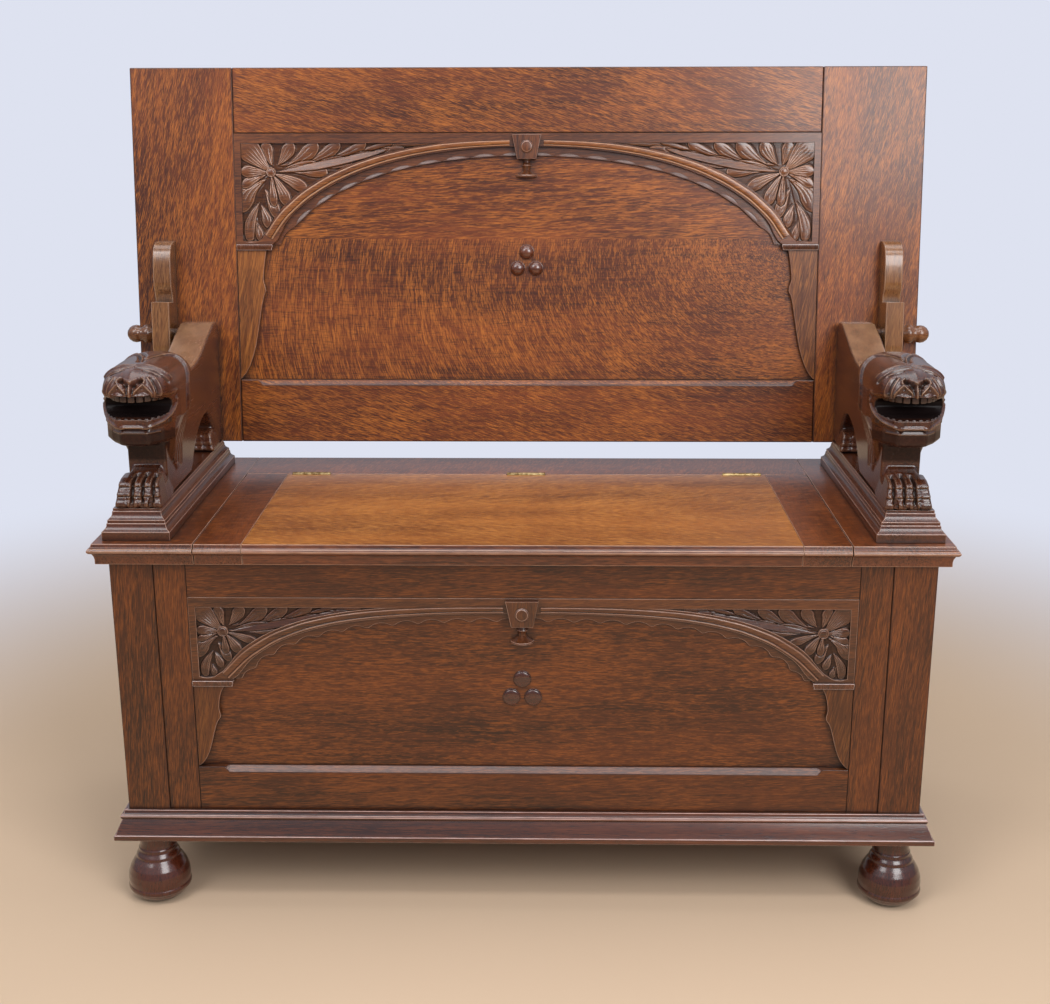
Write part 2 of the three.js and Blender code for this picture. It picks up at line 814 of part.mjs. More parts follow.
const chestArch = arcade(openingHalf, openingTop, openingBottom, {
  scallops: 12,
  springShare: 0.48,
  crownShare: 1.5,
  spanShare: 0.96,
  x1Share: 0.854,
  z1Share: 0.778,
  x2Share: 0.616,
  shoulderShares: [
    [0.985, 0],
    [0.76, 0.12],
    [0.766, 0.32],
  ],
  cuspShares: [0.8, 0.387],
  bellyShares: [
    [0.5, 0.5],
    [0.52, 0.9],
    [0, 1],
  ],
});

function chestTrim() {
  const face = frameFront + panelSetIn;
  add("front_arch", archTrim(chestArch, face), carvedOak);
  for (const [word, side] of sides) {
    add("front_pilaster_" + word, pilaster(chestArch, side, face), goldenOak);
  }
  add("front_keystone", keystone(chestArch, face), carvedOak);
}

// The tilting top, drawn upright round its pivot: y runs from its face to its back, z up its slope.

const topHalf = topWidth / 2;
const topOpeningHalf = topHalf - topCleatWidth;
const topLow = -topBelowPivot;
const topHigh = topAbovePivot;
const sill = topLow + topRailWidth;
const lintel = topHigh - topRailWidth;

const topArch = arcade(topOpeningHalf, lintel, sill, {
  scallops: 10,
  springShare: 0.445,
  crownShare: 1.35,
  spanShare: 1,
  x1Share: 0.9,
  z1Share: 0.559,
  x2Share: 0.577,
  shoulderShares: [
    [1.05, 0],
    [0.93, 0.12],
    [0.905, 0.25],
  ],
  cuspShares: [1, 0.31],
  bellyShares: [
    [0.7, 0.42],
    [0.74, 0.86],
    [0, 1],
  ],
});

const topBossPlaceShare = 0.597;
const topBossDomeShare = 0.8;

function topFrame() {
  const y = [faceOffset, faceOffset + topThickness];
  const tongueFront = faceOffset + panelSetIn + tongueLength / 3;
  const tongueRear = faceOffset + topThickness - tongueLength;
  const groove = [tongueFront - fit, tongueRear + fit];
  for (const [word, side] of sides) {
    const cleat = block(spanOn(side, topOpeningHalf, topHalf), y, [topLow, topHigh]);
    const slot = block(
      spanOn(side, topOpeningHalf - overrun, topOpeningHalf + grooveDepth),
      groove,
      [sill - grooveDepth, lintel + grooveDepth],
    );
    add("top_cleat_" + word, cut(cleat, slot), frameOak, top);
  }
  const across = [-topOpeningHalf + fit, topOpeningHalf - fit];
  const slotX = [-topOpeningHalf, topOpeningHalf];
  const upper = block(across, y, [lintel, topHigh]);
  const upperSlot = block(slotX, groove, [lintel - overrun, lintel + grooveDepth]);
  add("top_upper_rail", cut(upper, upperSlot), frameOak, top);
  const lower = block(across, y, [topLow, sill]);
  const lowerSlot = block(slotX, groove, [sill - grooveDepth, sill + overrun]);
  const chamfer = stoppedChamfer(topOpeningHalf - pilasterWidth + chamferWidth, faceOffset, sill);
  add("top_lower_rail", cut(lower, lowerSlot, chamfer), frameOak, top);

  const face = faceOffset + panelSetIn;
  const field = block(across, [face, face + topPanelThickness], [sill + fit, lintel - fit]);
  const tongue = block(
    [-topOpeningHalf - tongueLength, topOpeningHalf + tongueLength],
    [tongueFront, tongueRear],
    [sill - tongueLength, lintel + tongueLength],
  );
  const bossZ = sill + (pendantFoot(lintel) - sill) * topBossPlaceShare;
  const flowers = bosses(face, bossZ, topBossDiameter, topBossHeight, topBossDomeShare);
  add("top_panel", join(field, tongue, ...flowers), panelOak, top);
  add("top_arch", archTrim(topArch, face), carvedOak, top);
  for (const [word, side] of sides) {
    add("top_pilaster_" + word, pilaster(topArch, side, face), goldenOak, top);
  }
  add("top_keystone", keystone(topArch, face), carvedOak, top);
}

// The brackets on the face of the top that turn on the pegs.
function topRunners() {
  const back = faceOffset - fit;
  const neckShare = 0.72;
  const shoulder = runnerAbovePivot * 0.345;
  const at = (p, z) => new THREE.Vector2(back - p, z);
  const lobe = new THREE.CubicBezierCurve(
    at(0, runnerAbovePivot),
    at(runnerLobe * 0.8, runnerAbovePivot),
    at(runnerLobe, runnerAbovePivot * 0.9),
    at(runnerLobe, runnerAbovePivot * 0.72),
  ).getPoints(curveSteps / 2);
  const waist = new THREE.CubicBezierCurve(
    at(runnerLobe, runnerAbovePivot * 0.56),
    at(runnerLobe, runnerAbovePivot * 0.46),
    at(runnerLobe * neckShare, runnerAbovePivot * 0.44),
    at(runnerLobe * neckShare, shoulder),
  ).getPoints(curveSteps / 2);
  const heel = new THREE.QuadraticBezierCurve(
    at(runnerBoss, -runnerBelowPivot / 3),
    at(runnerBoss, -runnerBelowPivot),
    at(runnerBoss / 3, -runnerBelowPivot),
  ).getPoints(curveSteps / 2);
  const outline = [...lobe, ...waist, at(runnerBoss, shoulder), ...heel, at(0, -runnerBelowPivot)];
  const bracket = profileAcross(outline, runnerThickness, runnerArris);
  const bore = rod(pegShankDiameter / 2 + run, -runnerThickness, runnerThickness, turnedSides);
  for (const [word, side] of sides) {
    add("top_runner_" + word, cut(bracket, bore), carvedOak, top).position.x = side * runnerCentre;
  }
}

// Arms. One arm is drawn for the right-hand side; the left one is its mirror image.

const legFront = frontY + legSetback;
const neckSeat = armTop - headHeight + headBedding;
const bodyBottom = plinthTop + fit;

function armPlinth() {
  const out = (plinthWidth - plinthTopWidth) / 2;
  const shares = [
    [1, 0],
    [1, 0.28],
    [0.9, 0.31],
    [0.7, 0.36],
    [0.6, 0.44],
    [0.57, 0.53],
    [0.5, 0.55],
    [0.5, 0.64],
    [0.4, 0.66],
    [0.2, 0.72],
    [0.1, 0.8],
    [0.07, 0.9],
    [0, 0.92],
    [0, 1],
  ];
  const profile = shares.map(([o, h]) => [o * out, seatHeight + fit + h * (plinthHeight - fit)]);
  const half = plinthTopWidth / 2;
  const start = frontY + plinthSetback + out;
  const end = leaningY(plinthTop) - fit;
  return mouldedBoard([-half, half], [start, end], profile, ["left", "right", "front", "rear"]);
}

// A toe seen from the side: knuckle rolls one above the other, the upper ones set a little back.
function toeOutline(tipY, height, length) {
  const rollShares = [
    [0.06, 0],
    [0, 0.09],
    [0, 0.23],
    [0.04, 0.31],
    [0.01, 0.4],
    [0.025, 0.54],
    [0.08, 0.62],
    [0.055, 0.72],
    [0.09, 0.88],
    [0.2, 1],
    [0.42, 1.05],
    [0.42, 0],
  ];
  return rollShares.map(([back, up]) => new THREE.Vector2(tipY + back * length, bodyBottom + up * height));
}

const pawTaperShare = 0.2;

// A paw: four toes in front of a foot that rises into the leg, all of it narrower towards the top.
function paw(setback, height, length) {
  const toeCount = 4;
  const toeWidth = (pawWidth - (toeCount - 1) * toeGroove) / toeCount;
  const tipY = frontY + setback;
  const toe = profileAcross(toeOutline(tipY, height, length), toeWidth, toeArris);
  const toes = [...Array(toeCount).keys()].map((i) =>
    toe.translate([-pawWidth / 2 + toeWidth / 2 + i * (toeWidth + toeGroove), 0, 0]),
  );
  const sectionShares = [
    [-1, 0],
    [1, 0],
    [1, 0.6],
    [0.72, 1],
    [-0.72, 1],
    [-1, 0.6],
  ];
  const section = sectionShares.map(([across, up]) => new THREE.Vector2(across, up));
  // Each station is [length share, half width share, height share].
  const footShares = [
    [0.12, 0.94, 0.8],
    [0.36, 1, 1.02],
    [0.62, 0.97, 1.16],
    [1, 0.8, 1.24],
  ];
  const foot = sweep(
    section,
    footShares.map(([t, half, high]) => (point) => [
      (point.x * half * pawWidth) / 2,
      tipY + t * length,
      bodyBottom + point.y * high * height,
    ]),
  );
  return join(foot, ...toes).warp((point) => {
    const up = Math.min((point[2] - bodyBottom) / height, 1);
    point[0] *= 1 - pawTaperShare * up;
  });
}

// The lion's trunk seen from the side, as a list of (y, height) points.
function trunkOutline() {
  const runLength = pivotY - legFront;
  const rise = armTop - bodyBottom;
  const at = ([u, w]) => new THREE.Vector2(legFront + u * runLength, bodyBottom + w * rise);
  const backShares = [
    [0.24, 0.86],
    [0.38, 0.8],
    [0.56, 0.79],
    [0.7, 0.845],
    [0.82, 0.925],
    [0.9, 0.97],
    [0.945, 1],
  ];
  const bellyShares = [
    [0.86, 0.115],
    [0.8, 0.26],
    [0.735, 0.335],
    [0.62, 0.31],
    [0.5, 0.2],
    [0.4, 0],
  ];
  const rearPawHeelShare = 0.84;
  const back = new THREE.SplineCurve(backShares.map(at)).getPoints(curveSteps);
  back[0].x = legFront + neckLength;
  const corner = [];
  const cornerSteps = 4;
  for (let i = 0; i <= cornerSteps; i++) {
    const angle = Math.PI / 2 - (i / cornerSteps) * (Math.PI / 2 + leanAngle);
    const reach = new THREE.Vector2(Math.cos(angle), Math.sin(angle)).multiplyScalar(pivotStandoff);
    corner.push(reach.add(new THREE.Vector2(pivotY, pivotZ)));
  }
  const rearTop = corner[cornerSteps];
  const rearDrop = rearTop.y - bodyBottom;
  const rearBottom = new THREE.Vector2(rearTop.x - rearDrop * Math.tan(leanAngle), bodyBottom);
  const belly = new THREE.SplineCurve(bellyShares.map(at)).getPoints(curveSteps);
  return [
    at([0, 0]),
    new THREE.Vector2(legFront, neckSeat),
    new THREE.Vector2(legFront + neckLength, neckSeat),
    ...back,
    ...corner,
    rearBottom,
    at([rearPawHeelShare, 0]),
    ...belly,
  ];
}

function lionBody() {
  const trunk = profileAcross(trunkOutline(), armThickness, bodyArris);
  const front = paw(pawSetback, pawHeight, pawLength);
  const rear = paw(rearPawSetback, rearPawHeight, rearPawLength);
  const bore = rod(pegShankDiameter / 2 + run, armThickness / 2 - pegInArm, armThickness, turnedSides);
  return cut(join(trunk, front, rear), bore.translate([0, pivotY, pivotZ]));
}

// The head, drawn from shares of its width, its length from the nose back, and its height from the chin up.
function lionHead() {
  const w = headWidth;
  const l = headLength;
  const h = headHeight;
  const noseY = frontY + headSetback;
  const chinZ = armTop - h;
  const ringCount = 12;
  const ring = [...Array(ringCount).keys()].map((i) => {
    const angle = ((i + 0.5) / ringCount) * 2 * Math.PI;
    return new THREE.Vector2(Math.cos(angle), Math.sin(angle));
  });
  // Squares a round section off: the higher the power, the squarer.
  const squared = (power) => (v) => Math.sign(v) * Math.abs(v) ** (2 / power);

  // Sections across the head. Each station is [length share, half width share, top share, bottom share].
  const lengthwise = (shares, power) => {
    const soft = squared(power);
    return sweep(
      ring,
      shares.map(([t, half, high, low]) => (point) => {
        const z = (high + low) / 2 + (soft(point.y) * (high - low)) / 2;
        return [soft(point.x) * half * w, noseY + t * l, chinZ + z * h];
      }),
    );
  };
  // Level sections. Each station is [height share, half width share, front share, rear share].
  const upwards = (shares, power) => {
    const soft = squared(power);
    return sweep(
      ring,
      shares.map(([z, half, front, rear]) => (point) => {
        const t = (front + rear) / 2 - (soft(point.y) * (rear - front)) / 2;
        return [soft(point.x) * half * w, noseY + t * l, chinZ + z * h];
      }),
    );
  };
  const lump = (x, t, z, rx, ry, rz, around = 8, up = 5) =>
    ball([x * w, noseY + t * l, chinZ + z * h], [rx * w, ry * l, rz * h], around, up);
  const pair = (make) => [make(1), make(-1)];

  const skullShares = [
    [0.14, 0.42, 0.9, 0.3],
    [0.155, 0.455, 0.965, 0.2],
    [0.22, 0.485, 0.98, 0.08],
    [0.32, 0.5, 0.98, 0.01],
    [0.6, 0.5, 0.98, 0],
    [0.88, 0.485, 0.975, 0.04],
    [1, 0.42, 0.91, 0.12],
  ];
  const muzzleShares = [
    [0.02, 0.26, 0.84, 0.67],
    [0.06, 0.34, 0.87, 0.65],
    [0.14, 0.43, 0.885, 0.63],
    [0.24, 0.47, 0.9, 0.6],
  ];
  const noseShares = [
    [0, 0.12, 0.86, 0.7],
    [0.02, 0.175, 0.915, 0.67],
    [0.08, 0.15, 0.945, 0.65],
    [0.25, 0.11, 0.96, 0.65],
  ];
  const lipShares = [
    [0.06, 0.3, 0.385, 0.25],
    [0.09, 0.375, 0.39, 0.24],
    [0.18, 0.47, 0.4, 0.24],
    [0.34, 0.495, 0.45, 0.24],
  ];
  const chinShares = [
    [0.09, 0.25, 0.26, 0.04],
    [0.115, 0.31, 0.27, 0],
    [0.22, 0.43, 0.27, 0],
    [0.34, 0.485, 0.3, 0],
  ];
  const maneShares = [
    [-0.52, 0.275, 0.71, 0.88],
    [-0.3, 0.3, 0.5, 0.96],
    [-0.05, 0.36, 0.41, 1.03],
    [0.2, 0.44, 0.42, 1.02],
    [0.62, 0.485, 0.42, 0.98],
    [0.86, 0.46, 0.5, 1],
    [0.96, 0.36, 0.6, 0.95],
  ];
  const solidHead = join(
    lengthwise(skullShares, 3),
    lengthwise(muzzleShares, 3.2),
    lengthwise(noseShares, 3),
    lengthwise(lipShares, 5),
    lengthwise(chinShares, 6),
    upwards(maneShares, 4),
    ...pair((s) => lump(s * 0.24, 0.38, 0.85, 0.24, 0.23, 0.148)),
    ...pair((s) => lump(s * 0.24, 0.64, 0.74, 0.25, 0.34, 0.26)),
    ...pair((s) => lump(s * 0.155, 0.085, 0.74, 0.15, 0.085, 0.1)),
  );
  const mouthShares = [
    [0.3, 0.47],
    [0.3, 0.54],
    [0.26, 0.59],
    [0.12, 0.61],
    [-0.1, 0.61],
    [-0.1, 0.355],
    [0.12, 0.355],
    [0.26, 0.4],
  ];
  const mouth = profileAcross(
    mouthShares.map(([t, z]) => new THREE.Vector2(noseY + t * l, chinZ + z * h)),
    w * 2,
    0,
  );
  const nostrils = pair((s) => lump(s * 0.09, 0.01, 0.86, 0.035, 0.035, 0.035, 6, 4));
  const eyes = pair((s) => lump(s * 0.28, 0.135, 0.9, 0.11, 0.045, 0.02, 8, 4));
  return cut(solidHead, mouth, ...nostrils, ...eyes, ...trunkClearance());
}

// The trunk's plank grown by the gap, upwards, forwards and at the sides, to cut out of the head.
function trunkClearance() {
  const plank = profileAcross(trunkOutline(), armThickness + 2 * fit, 0);
  const moves = [
    [0, 0],
    [-fit, 0],
    [0, fit],
    [-fit, fit],
  ];
  return moves.map(([forward, up]) => plank.translate([0, forward, up]));
}

// A peg turned along x: shank in the arm and through the bracket, then collar and ball.
function pivotPeg() {
  const shank = pegShankDiameter / 2;
  const collar = pegCollarDiameter / 2;
  const ballR = pegBallDiameter / 2;
  const start = armCentre + armThickness / 2 - pegInArm + run;
  const bracketOuter = runnerCentre + runnerThickness / 2;
  const collarAt = pegBallCentre - ballR * 1.55;
  const collarWide = ballR / 2;
  const profile = [
    new THREE.Vector2(0, start),
    new THREE.Vector2(shank, start),
    new THREE.Vector2(shank, bracketOuter + run),
    new THREE.Vector2(shank * 0.85, (bracketOuter + collarAt) / 2),
    new THREE.Vector2(collar, collarAt),
    new THREE.Vector2(collar, collarAt + collarWide),
  ];
  const waistAngle = 0.75 * Math.PI;
  const steps = 6;
  for (let i = 0; i < steps; i++) {
    const angle = waistAngle * (1 - i / steps);
    profile.push(new THREE.Vector2(ballR * Math.sin(angle), pegBallCentre + ballR * Math.cos(angle)));
  }
  profile.push(new THREE.Vector2(0, pegBallCentre + ballR));
  return solid(new THREE.LatheGeometry(profile, turnedSides).rotateZ(-Math.PI / 2));
}

function arms() {
  const plinth = armPlinth();
  const body = lionBody();
  const head = lionHead();
  const peg = pivotPeg();
  for (const [word, side] of sides) {
    add("arm_plinth_" + word, plinth, carvedOak).position.x = side * plinthCentre;
    const arm = new THREE.Group();
    arm.position.x = side * armCentre;
    arm.scale.x = side;
    bench.add(arm);
    add("lion_body_" + word, body, carvedOak, arm);
    add("lion_head_" + word, head, carvedOak, arm);
    const pegMesh = add("pivot_peg_" + word, peg, turnedOak);
    pegMesh.position.set(0, pivotY, pivotZ);
    pegMesh.scale.x = side;
  }
}

chestPosts();
chestFrontFrame();
chestPanels();
baseMoulding();
bunFeet();
seat();
lid();
lidHinges();
chestTrim();
topFrame();
topRunners();
arms();

export default bench;
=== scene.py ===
import json
import math
import zlib
import bmesh
import bpy
import numpy as np
from mathutils import Matrix, Vector
from mathutils.bvhtree import BVHTree
from mathutils.kdtree import KDTree

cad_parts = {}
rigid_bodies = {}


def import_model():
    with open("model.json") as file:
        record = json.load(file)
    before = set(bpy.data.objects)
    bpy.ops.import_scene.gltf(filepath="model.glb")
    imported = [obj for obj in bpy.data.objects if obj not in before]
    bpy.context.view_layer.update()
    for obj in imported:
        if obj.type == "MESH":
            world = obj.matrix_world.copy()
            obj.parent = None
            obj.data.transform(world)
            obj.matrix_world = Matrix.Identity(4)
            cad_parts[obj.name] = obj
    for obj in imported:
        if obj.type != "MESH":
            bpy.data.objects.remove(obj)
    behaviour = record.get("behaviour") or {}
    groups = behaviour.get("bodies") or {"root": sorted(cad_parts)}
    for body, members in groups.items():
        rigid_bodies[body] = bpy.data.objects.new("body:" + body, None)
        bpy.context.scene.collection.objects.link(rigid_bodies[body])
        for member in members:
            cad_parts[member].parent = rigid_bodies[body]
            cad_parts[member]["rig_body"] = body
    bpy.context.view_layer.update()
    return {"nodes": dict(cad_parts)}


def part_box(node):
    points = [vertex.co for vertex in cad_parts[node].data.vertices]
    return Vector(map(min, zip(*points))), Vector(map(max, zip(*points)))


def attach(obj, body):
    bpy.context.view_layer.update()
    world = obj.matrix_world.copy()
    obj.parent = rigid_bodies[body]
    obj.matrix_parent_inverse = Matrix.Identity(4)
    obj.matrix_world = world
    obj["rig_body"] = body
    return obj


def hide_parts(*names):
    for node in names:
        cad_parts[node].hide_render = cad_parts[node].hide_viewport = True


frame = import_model()

# Directions of the bench: the front faces -Y. The table top leans back by TILT while it is the back.
MM = 0.001
TILT = math.radians(7)
EAST = Vector((1, 0, 0))
NORTH = Vector((0, 1, 0))
SKY = Vector((0, 0, 1))
FRONT = Vector((0, -1, 0))
UP_TOP = Vector((0, math.sin(TILT), math.cos(TILT)))
OFF_TOP = Vector((0, -math.cos(TILT), math.sin(TILT)))
PIVOT = Vector((0, 0.145735, 0.66))


def tone(red, green, blue):
    """A colour as it is read off a screen, as linear light."""
    def linear(c):
        c = c / 255
        return c / 12.92 if c <= 0.04045 else ((c + 0.055) / 1.055) ** 2.4
    return (linear(red), linear(green), linear(blue), 1.0)


def feed(tree, socket, value):
    """Links a socket to another one, or sets its value."""
    if isinstance(value, bpy.types.NodeSocket):
        tree.links.new(value, socket)
    else:
        socket.default_value = value


def add_node(tree, kind, inputs=(), **settings):
    """A new node of a tree, set and fed."""
    made = tree.nodes.new(kind)
    for key, value in settings.items():
        setattr(made, key, value)
    for key, value in dict(inputs).items():
        feed(tree, made.inputs[key], value)
    return made


class Shader:
    """A material's node tree, with short names for the nodes that are used here."""

    def __init__(self, name):
        self.material = bpy.data.materials.new(name)
        self.material.use_nodes = True
        self.tree = self.material.node_tree
        self.surface = self.tree.nodes["Principled BSDF"]

    def node(self, kind, inputs=(), **settings):
        return add_node(self.tree, kind, inputs, **settings)

    def sum(self, operation, a, b=0.0):
        return self.node("ShaderNodeMath", {0: a, 1: b}, operation=operation).outputs[0]

    def add(self, a, b):
        return self.sum("ADD", a, b)

    def times(self, a, b):
        return self.sum("MULTIPLY", a, b)

    def span(self, value, low, high, start=0.0, end=1.0):
        inputs = {"Value": value, "From Min": low, "From Max": high, "To Min": start, "To Max": end}
        return self.node("ShaderNodeMapRange", inputs, clamp=True).outputs[0]

    def pick(self, switch, a, b):
        """a where switch is 0, b where it is 1."""
        return self.add(self.times(a, self.add(self.times(switch, -1.0), 1.0)), self.times(b, switch))

    def vector(self, x, y, z):
        return self.node("ShaderNodeCombineXYZ", {0: x, 1: y, 2: z}).outputs[0]

    def noise(self, vector, detail=2.0, rough=0.5, twist=0.0):
        inputs = {"Vector": vector, "Scale": 1.0, "Detail": detail, "Roughness": rough, "Distortion": twist}
        return self.node("ShaderNodeTexNoise", inputs).outputs[0]

    def figure(self, place, waves, detail=2.0, rough=0.5):
        """Noise with its own waves a metre along the board, and across and through it."""
        along, wide = waves
        parts = [self.times(value, size) for value, size in zip(place, (along, wide, wide))]
        return self.noise(self.vector(*parts), detail, rough)

    def blend(self, factor, a, b):
        inputs = {0: factor, 6: a, 7: b}
        return self.node("ShaderNodeMix", inputs, data_type="RGBA", blend_type="MIX").outputs[2]

    def attribute(self, name):
        return self.node("ShaderNodeAttribute", attribute_name=name)

    def finish(self, **sockets):
        for key, value in sockets.items():
            feed(self.tree, self.surface.inputs[key.replace("_", " ")], value)
        return self.material


# A dark brown for the wood's pores, and the colour of the painted shade in recesses and carved hollows.
DARK_PORES_AND_SHADE = tone(20, 11, 7)
# The colour of the painted shade in the lions' mouths, under their chins and on the carving's low ground.
PAINTED_SHADE_DARK = tone(24, 17, 17)


# How the flecks run over a board. Each takes the place along and across it, and gives the place
# along and across the flecks.
def straight(slant):
    def run(s, u, v):
        along = s.add(s.times(u, math.cos(slant)), s.times(v, math.sin(slant)))
        return along, s.add(s.times(v, math.cos(slant)), s.times(u, -math.sin(slant)))
    return run


def chevron(slant, middle):
    """Mirrored about a line along the board."""
    def run(s, u, v):
        return straight(slant)(s, u, s.sum("ABSOLUTE", s.add(v, -middle)))
    return run


def sweeping(centre, lean, squeeze, joint, slant):
    """Arcs about a place beside the joint of two boards on the lower one, straight on the upper one."""
    def run(s, u, v):
        across = s.add(u, -centre[0])
        rise = s.times(s.add(s.add(v, -centre[1]), s.times(across, -lean)), squeeze)
        reach = s.sum("SQRT", s.add(s.times(across, across), s.times(rise, rise)))
        turn = s.sum("ARCTAN2", rise, s.times(across, -1.0))
        above = s.sum("GREATER_THAN", v, joint)
        p, q = straight(slant)(s, u, v)
        return s.pick(above, s.times(turn, 0.5), s.add(p, 3.0)), s.pick(above, reach, q)
    return run


# How fine each figure of the wood is: waves a metre along the board, and across and through it.
SWAY, BROAD, STREAK = (5.0, 11.0), (2.5, 14.0), (6.0, 300.0)
PATCH, PORES, RUB = (9.0, 12.0), (75.0, 950.0), (40.0, 60.0)
SPECK_THROUGH, RIPPLE_THROUGH = 450.0, 180.0
# The part of each figure's range that takes it from none to all.
SHADE_RANGE, LIT_RANGE, PORE_RANGE, RUB_RANGE = (0.38, 0.62), (0.44, 0.69), (0.56, 0.7), (0.3, 0.7)
# OPEN_RANGE sets how the painted shade of recesses fades with ambient occlusion; ARRIS_RANGE and HOLLOW_RANGE
# set the carving's painted highlight and painted shade from pointiness.
OPEN_RANGE, ARRIS_RANGE, HOLLOW_RANGE = (0.2, 0.85), (0.515, 0.6), (0.40, 0.49)
SWAY_REACH = 0.014
STREAK_SHARE = 0.45


def oak(name, deep, mid, gleam, flecks=0.7, run=straight(0.2), length=12.0, width=1.1, polish=0.34,
        coat=0.3, recess=9.0, recess_shade_strength=0.85, edge_wear_and_sheen=None, carved=False, gloss=0.4):
    """Polished oak that follows the grain attribute: growth lines, pores and gleaming flecks, and painted
    shade in recesses.
    """
    edge_colour = tone(*(edge_wear_and_sheen or gleam))
    deep, mid, gleam = tone(*deep), tone(*mid), tone(*gleam)
    s = Shader(name)
    grain = s.node("ShaderNodeSeparateXYZ", {0: s.attribute("grain").outputs["Vector"]})
    u, v, w = grain.outputs
    drift = s.times(s.add(s.figure((u, v, w), SWAY, 1.0), -0.5), SWAY_REACH)
    across = s.add(v, drift)
    broad = s.figure((u, across, w), BROAD, 3.0)
    streak = s.figure((u, across, w), STREAK, 3.0, 0.65)
    shade = s.add(s.times(broad, 1.0 - STREAK_SHARE), s.times(streak, STREAK_SHARE))
    colour = s.blend(s.span(shade, *SHADE_RANGE), deep, mid)

    p, q = run(s, u, v)
    q = s.add(q, s.times(drift, 0.6))
    fine = s.vector(s.times(p, 1000 / length), s.times(q, 1000 / width), s.times(w, SPECK_THROUGH))
    speck = s.noise(fine, 3.0, 0.6, 0.5)
    patch = s.figure((u, v, w), PATCH)
    coarse = s.vector(s.times(p, 300 / length), s.times(q, 250 / width), s.times(w, RIPPLE_THROUGH))
    ripple = s.noise(coarse)
    wave = s.add(s.times(s.add(patch, -0.5), 0.3), s.times(s.add(ripple, -0.5), 0.3))
    lit = s.span(s.add(speck, wave), *LIT_RANGE)
    colour = s.blend(s.times(lit, flecks), colour, gleam)

    pores = s.span(s.figure((u, across, w), PORES, 1.0), *PORE_RANGE)
    colour = s.blend(s.times(pores, 0.5), colour, DARK_PORES_AND_SHADE)

    # Painted shade: darker and rougher where ambient occlusion finds near surfaces, in recesses, gaps and
    # under parts.
    near = s.node("ShaderNodeAmbientOcclusion", {"Distance": recess * MM}, samples=6)
    recess_shade_amount = s.span(near.outputs["AO"], *OPEN_RANGE, recess_shade_strength, 0.0)
    wear = s.attribute("wear").outputs["Fac"]
    rub = s.span(s.figure((u, v, w), RUB), *RUB_RANGE)
    edge = s.times(s.times(wear, s.add(0.55, s.times(rub, 0.45))), 0.8)
    if carved:
        # Painted highlight on the carving's sharp ridges and painted shade in its hollows, both read from
        # pointiness.
        point = s.node("ShaderNodeNewGeometry").outputs["Pointiness"]
        edge = s.add(edge, s.span(point, *ARRIS_RANGE, 0.0, 0.4))
        colour = s.blend(s.span(point, *HOLLOW_RANGE, 0.7, 0.0), colour, DARK_PORES_AND_SHADE)
        # Painted shade where the shade attribute says so, which also takes most of the coat and gloss away
        # there.
        shaded = s.attribute("shade").outputs["Fac"]
        colour = s.blend(shaded, colour, PAINTED_SHADE_DARK)
        dry = s.add(1.0, s.times(shaded, -0.9))
        coat, gloss = s.times(dry, coat), s.times(dry, gloss)
    # Painted highlight with wear: the marked edges take the edge colour, which on the jointed boards is the
    # dark joint colour instead.
    colour = s.blend(s.sum("MINIMUM", edge, 1.0), colour, edge_colour)
    colour = s.blend(recess_shade_amount, colour, DARK_PORES_AND_SHADE)

    relief = s.add(s.times(streak, 0.5), s.times(pores, -0.8))
    bump = s.node("ShaderNodeBump", {"Strength": 0.12, "Distance": 0.0004, "Height": relief})
    rough = s.add(polish - 0.06, s.times(shade, 0.12))
    return s.finish(
        Base_Color=colour,
        Roughness=s.add(rough, s.times(recess_shade_amount, 0.3)),
        Specular_IOR_Level=gloss,
        Normal=bump.outputs[0],
        Coat_Weight=coat,
        Coat_Roughness=0.18,
    )


def brass(name):
    s = Shader(name)
    place = s.node("ShaderNodeTexCoord").outputs["Object"]
    scaled = s.node("ShaderNodeVectorMath", {0: place, 1: (220, 220, 220)}, operation="MULTIPLY")
    stain = s.noise(scaled.outputs[0])
    colour = s.blend(s.span(stain, 0.35, 0.65), tone(120, 96, 60), tone(190, 166, 120))
    return s.finish(Base_Color=colour, Metallic=0.9, Roughness=s.span(stain, 0.3, 0.7, 0.28, 0.5))


# Colours as they are read off a screen, 0 to 255.
BACK_DEEP, BACK_MID, BACK_GLEAM = (64, 26, 10), (116, 56, 22), (192, 113, 42)
CHEST_DEEP, CHEST_MID, CHEST_GLEAM = (42, 19, 8), (84, 40, 15), (144, 78, 28)
DARK_DEEP, DARK_MID, DARK_GLEAM = (50, 23, 13), (86, 42, 23), (124, 68, 36)
SEAM = (44, 20, 11)
# Pale edges: rubbed wear, with a painted highlight where the varnish would catch the light.
EDGE_WEAR_AND_HIGHLIGHT = (176, 140, 122)
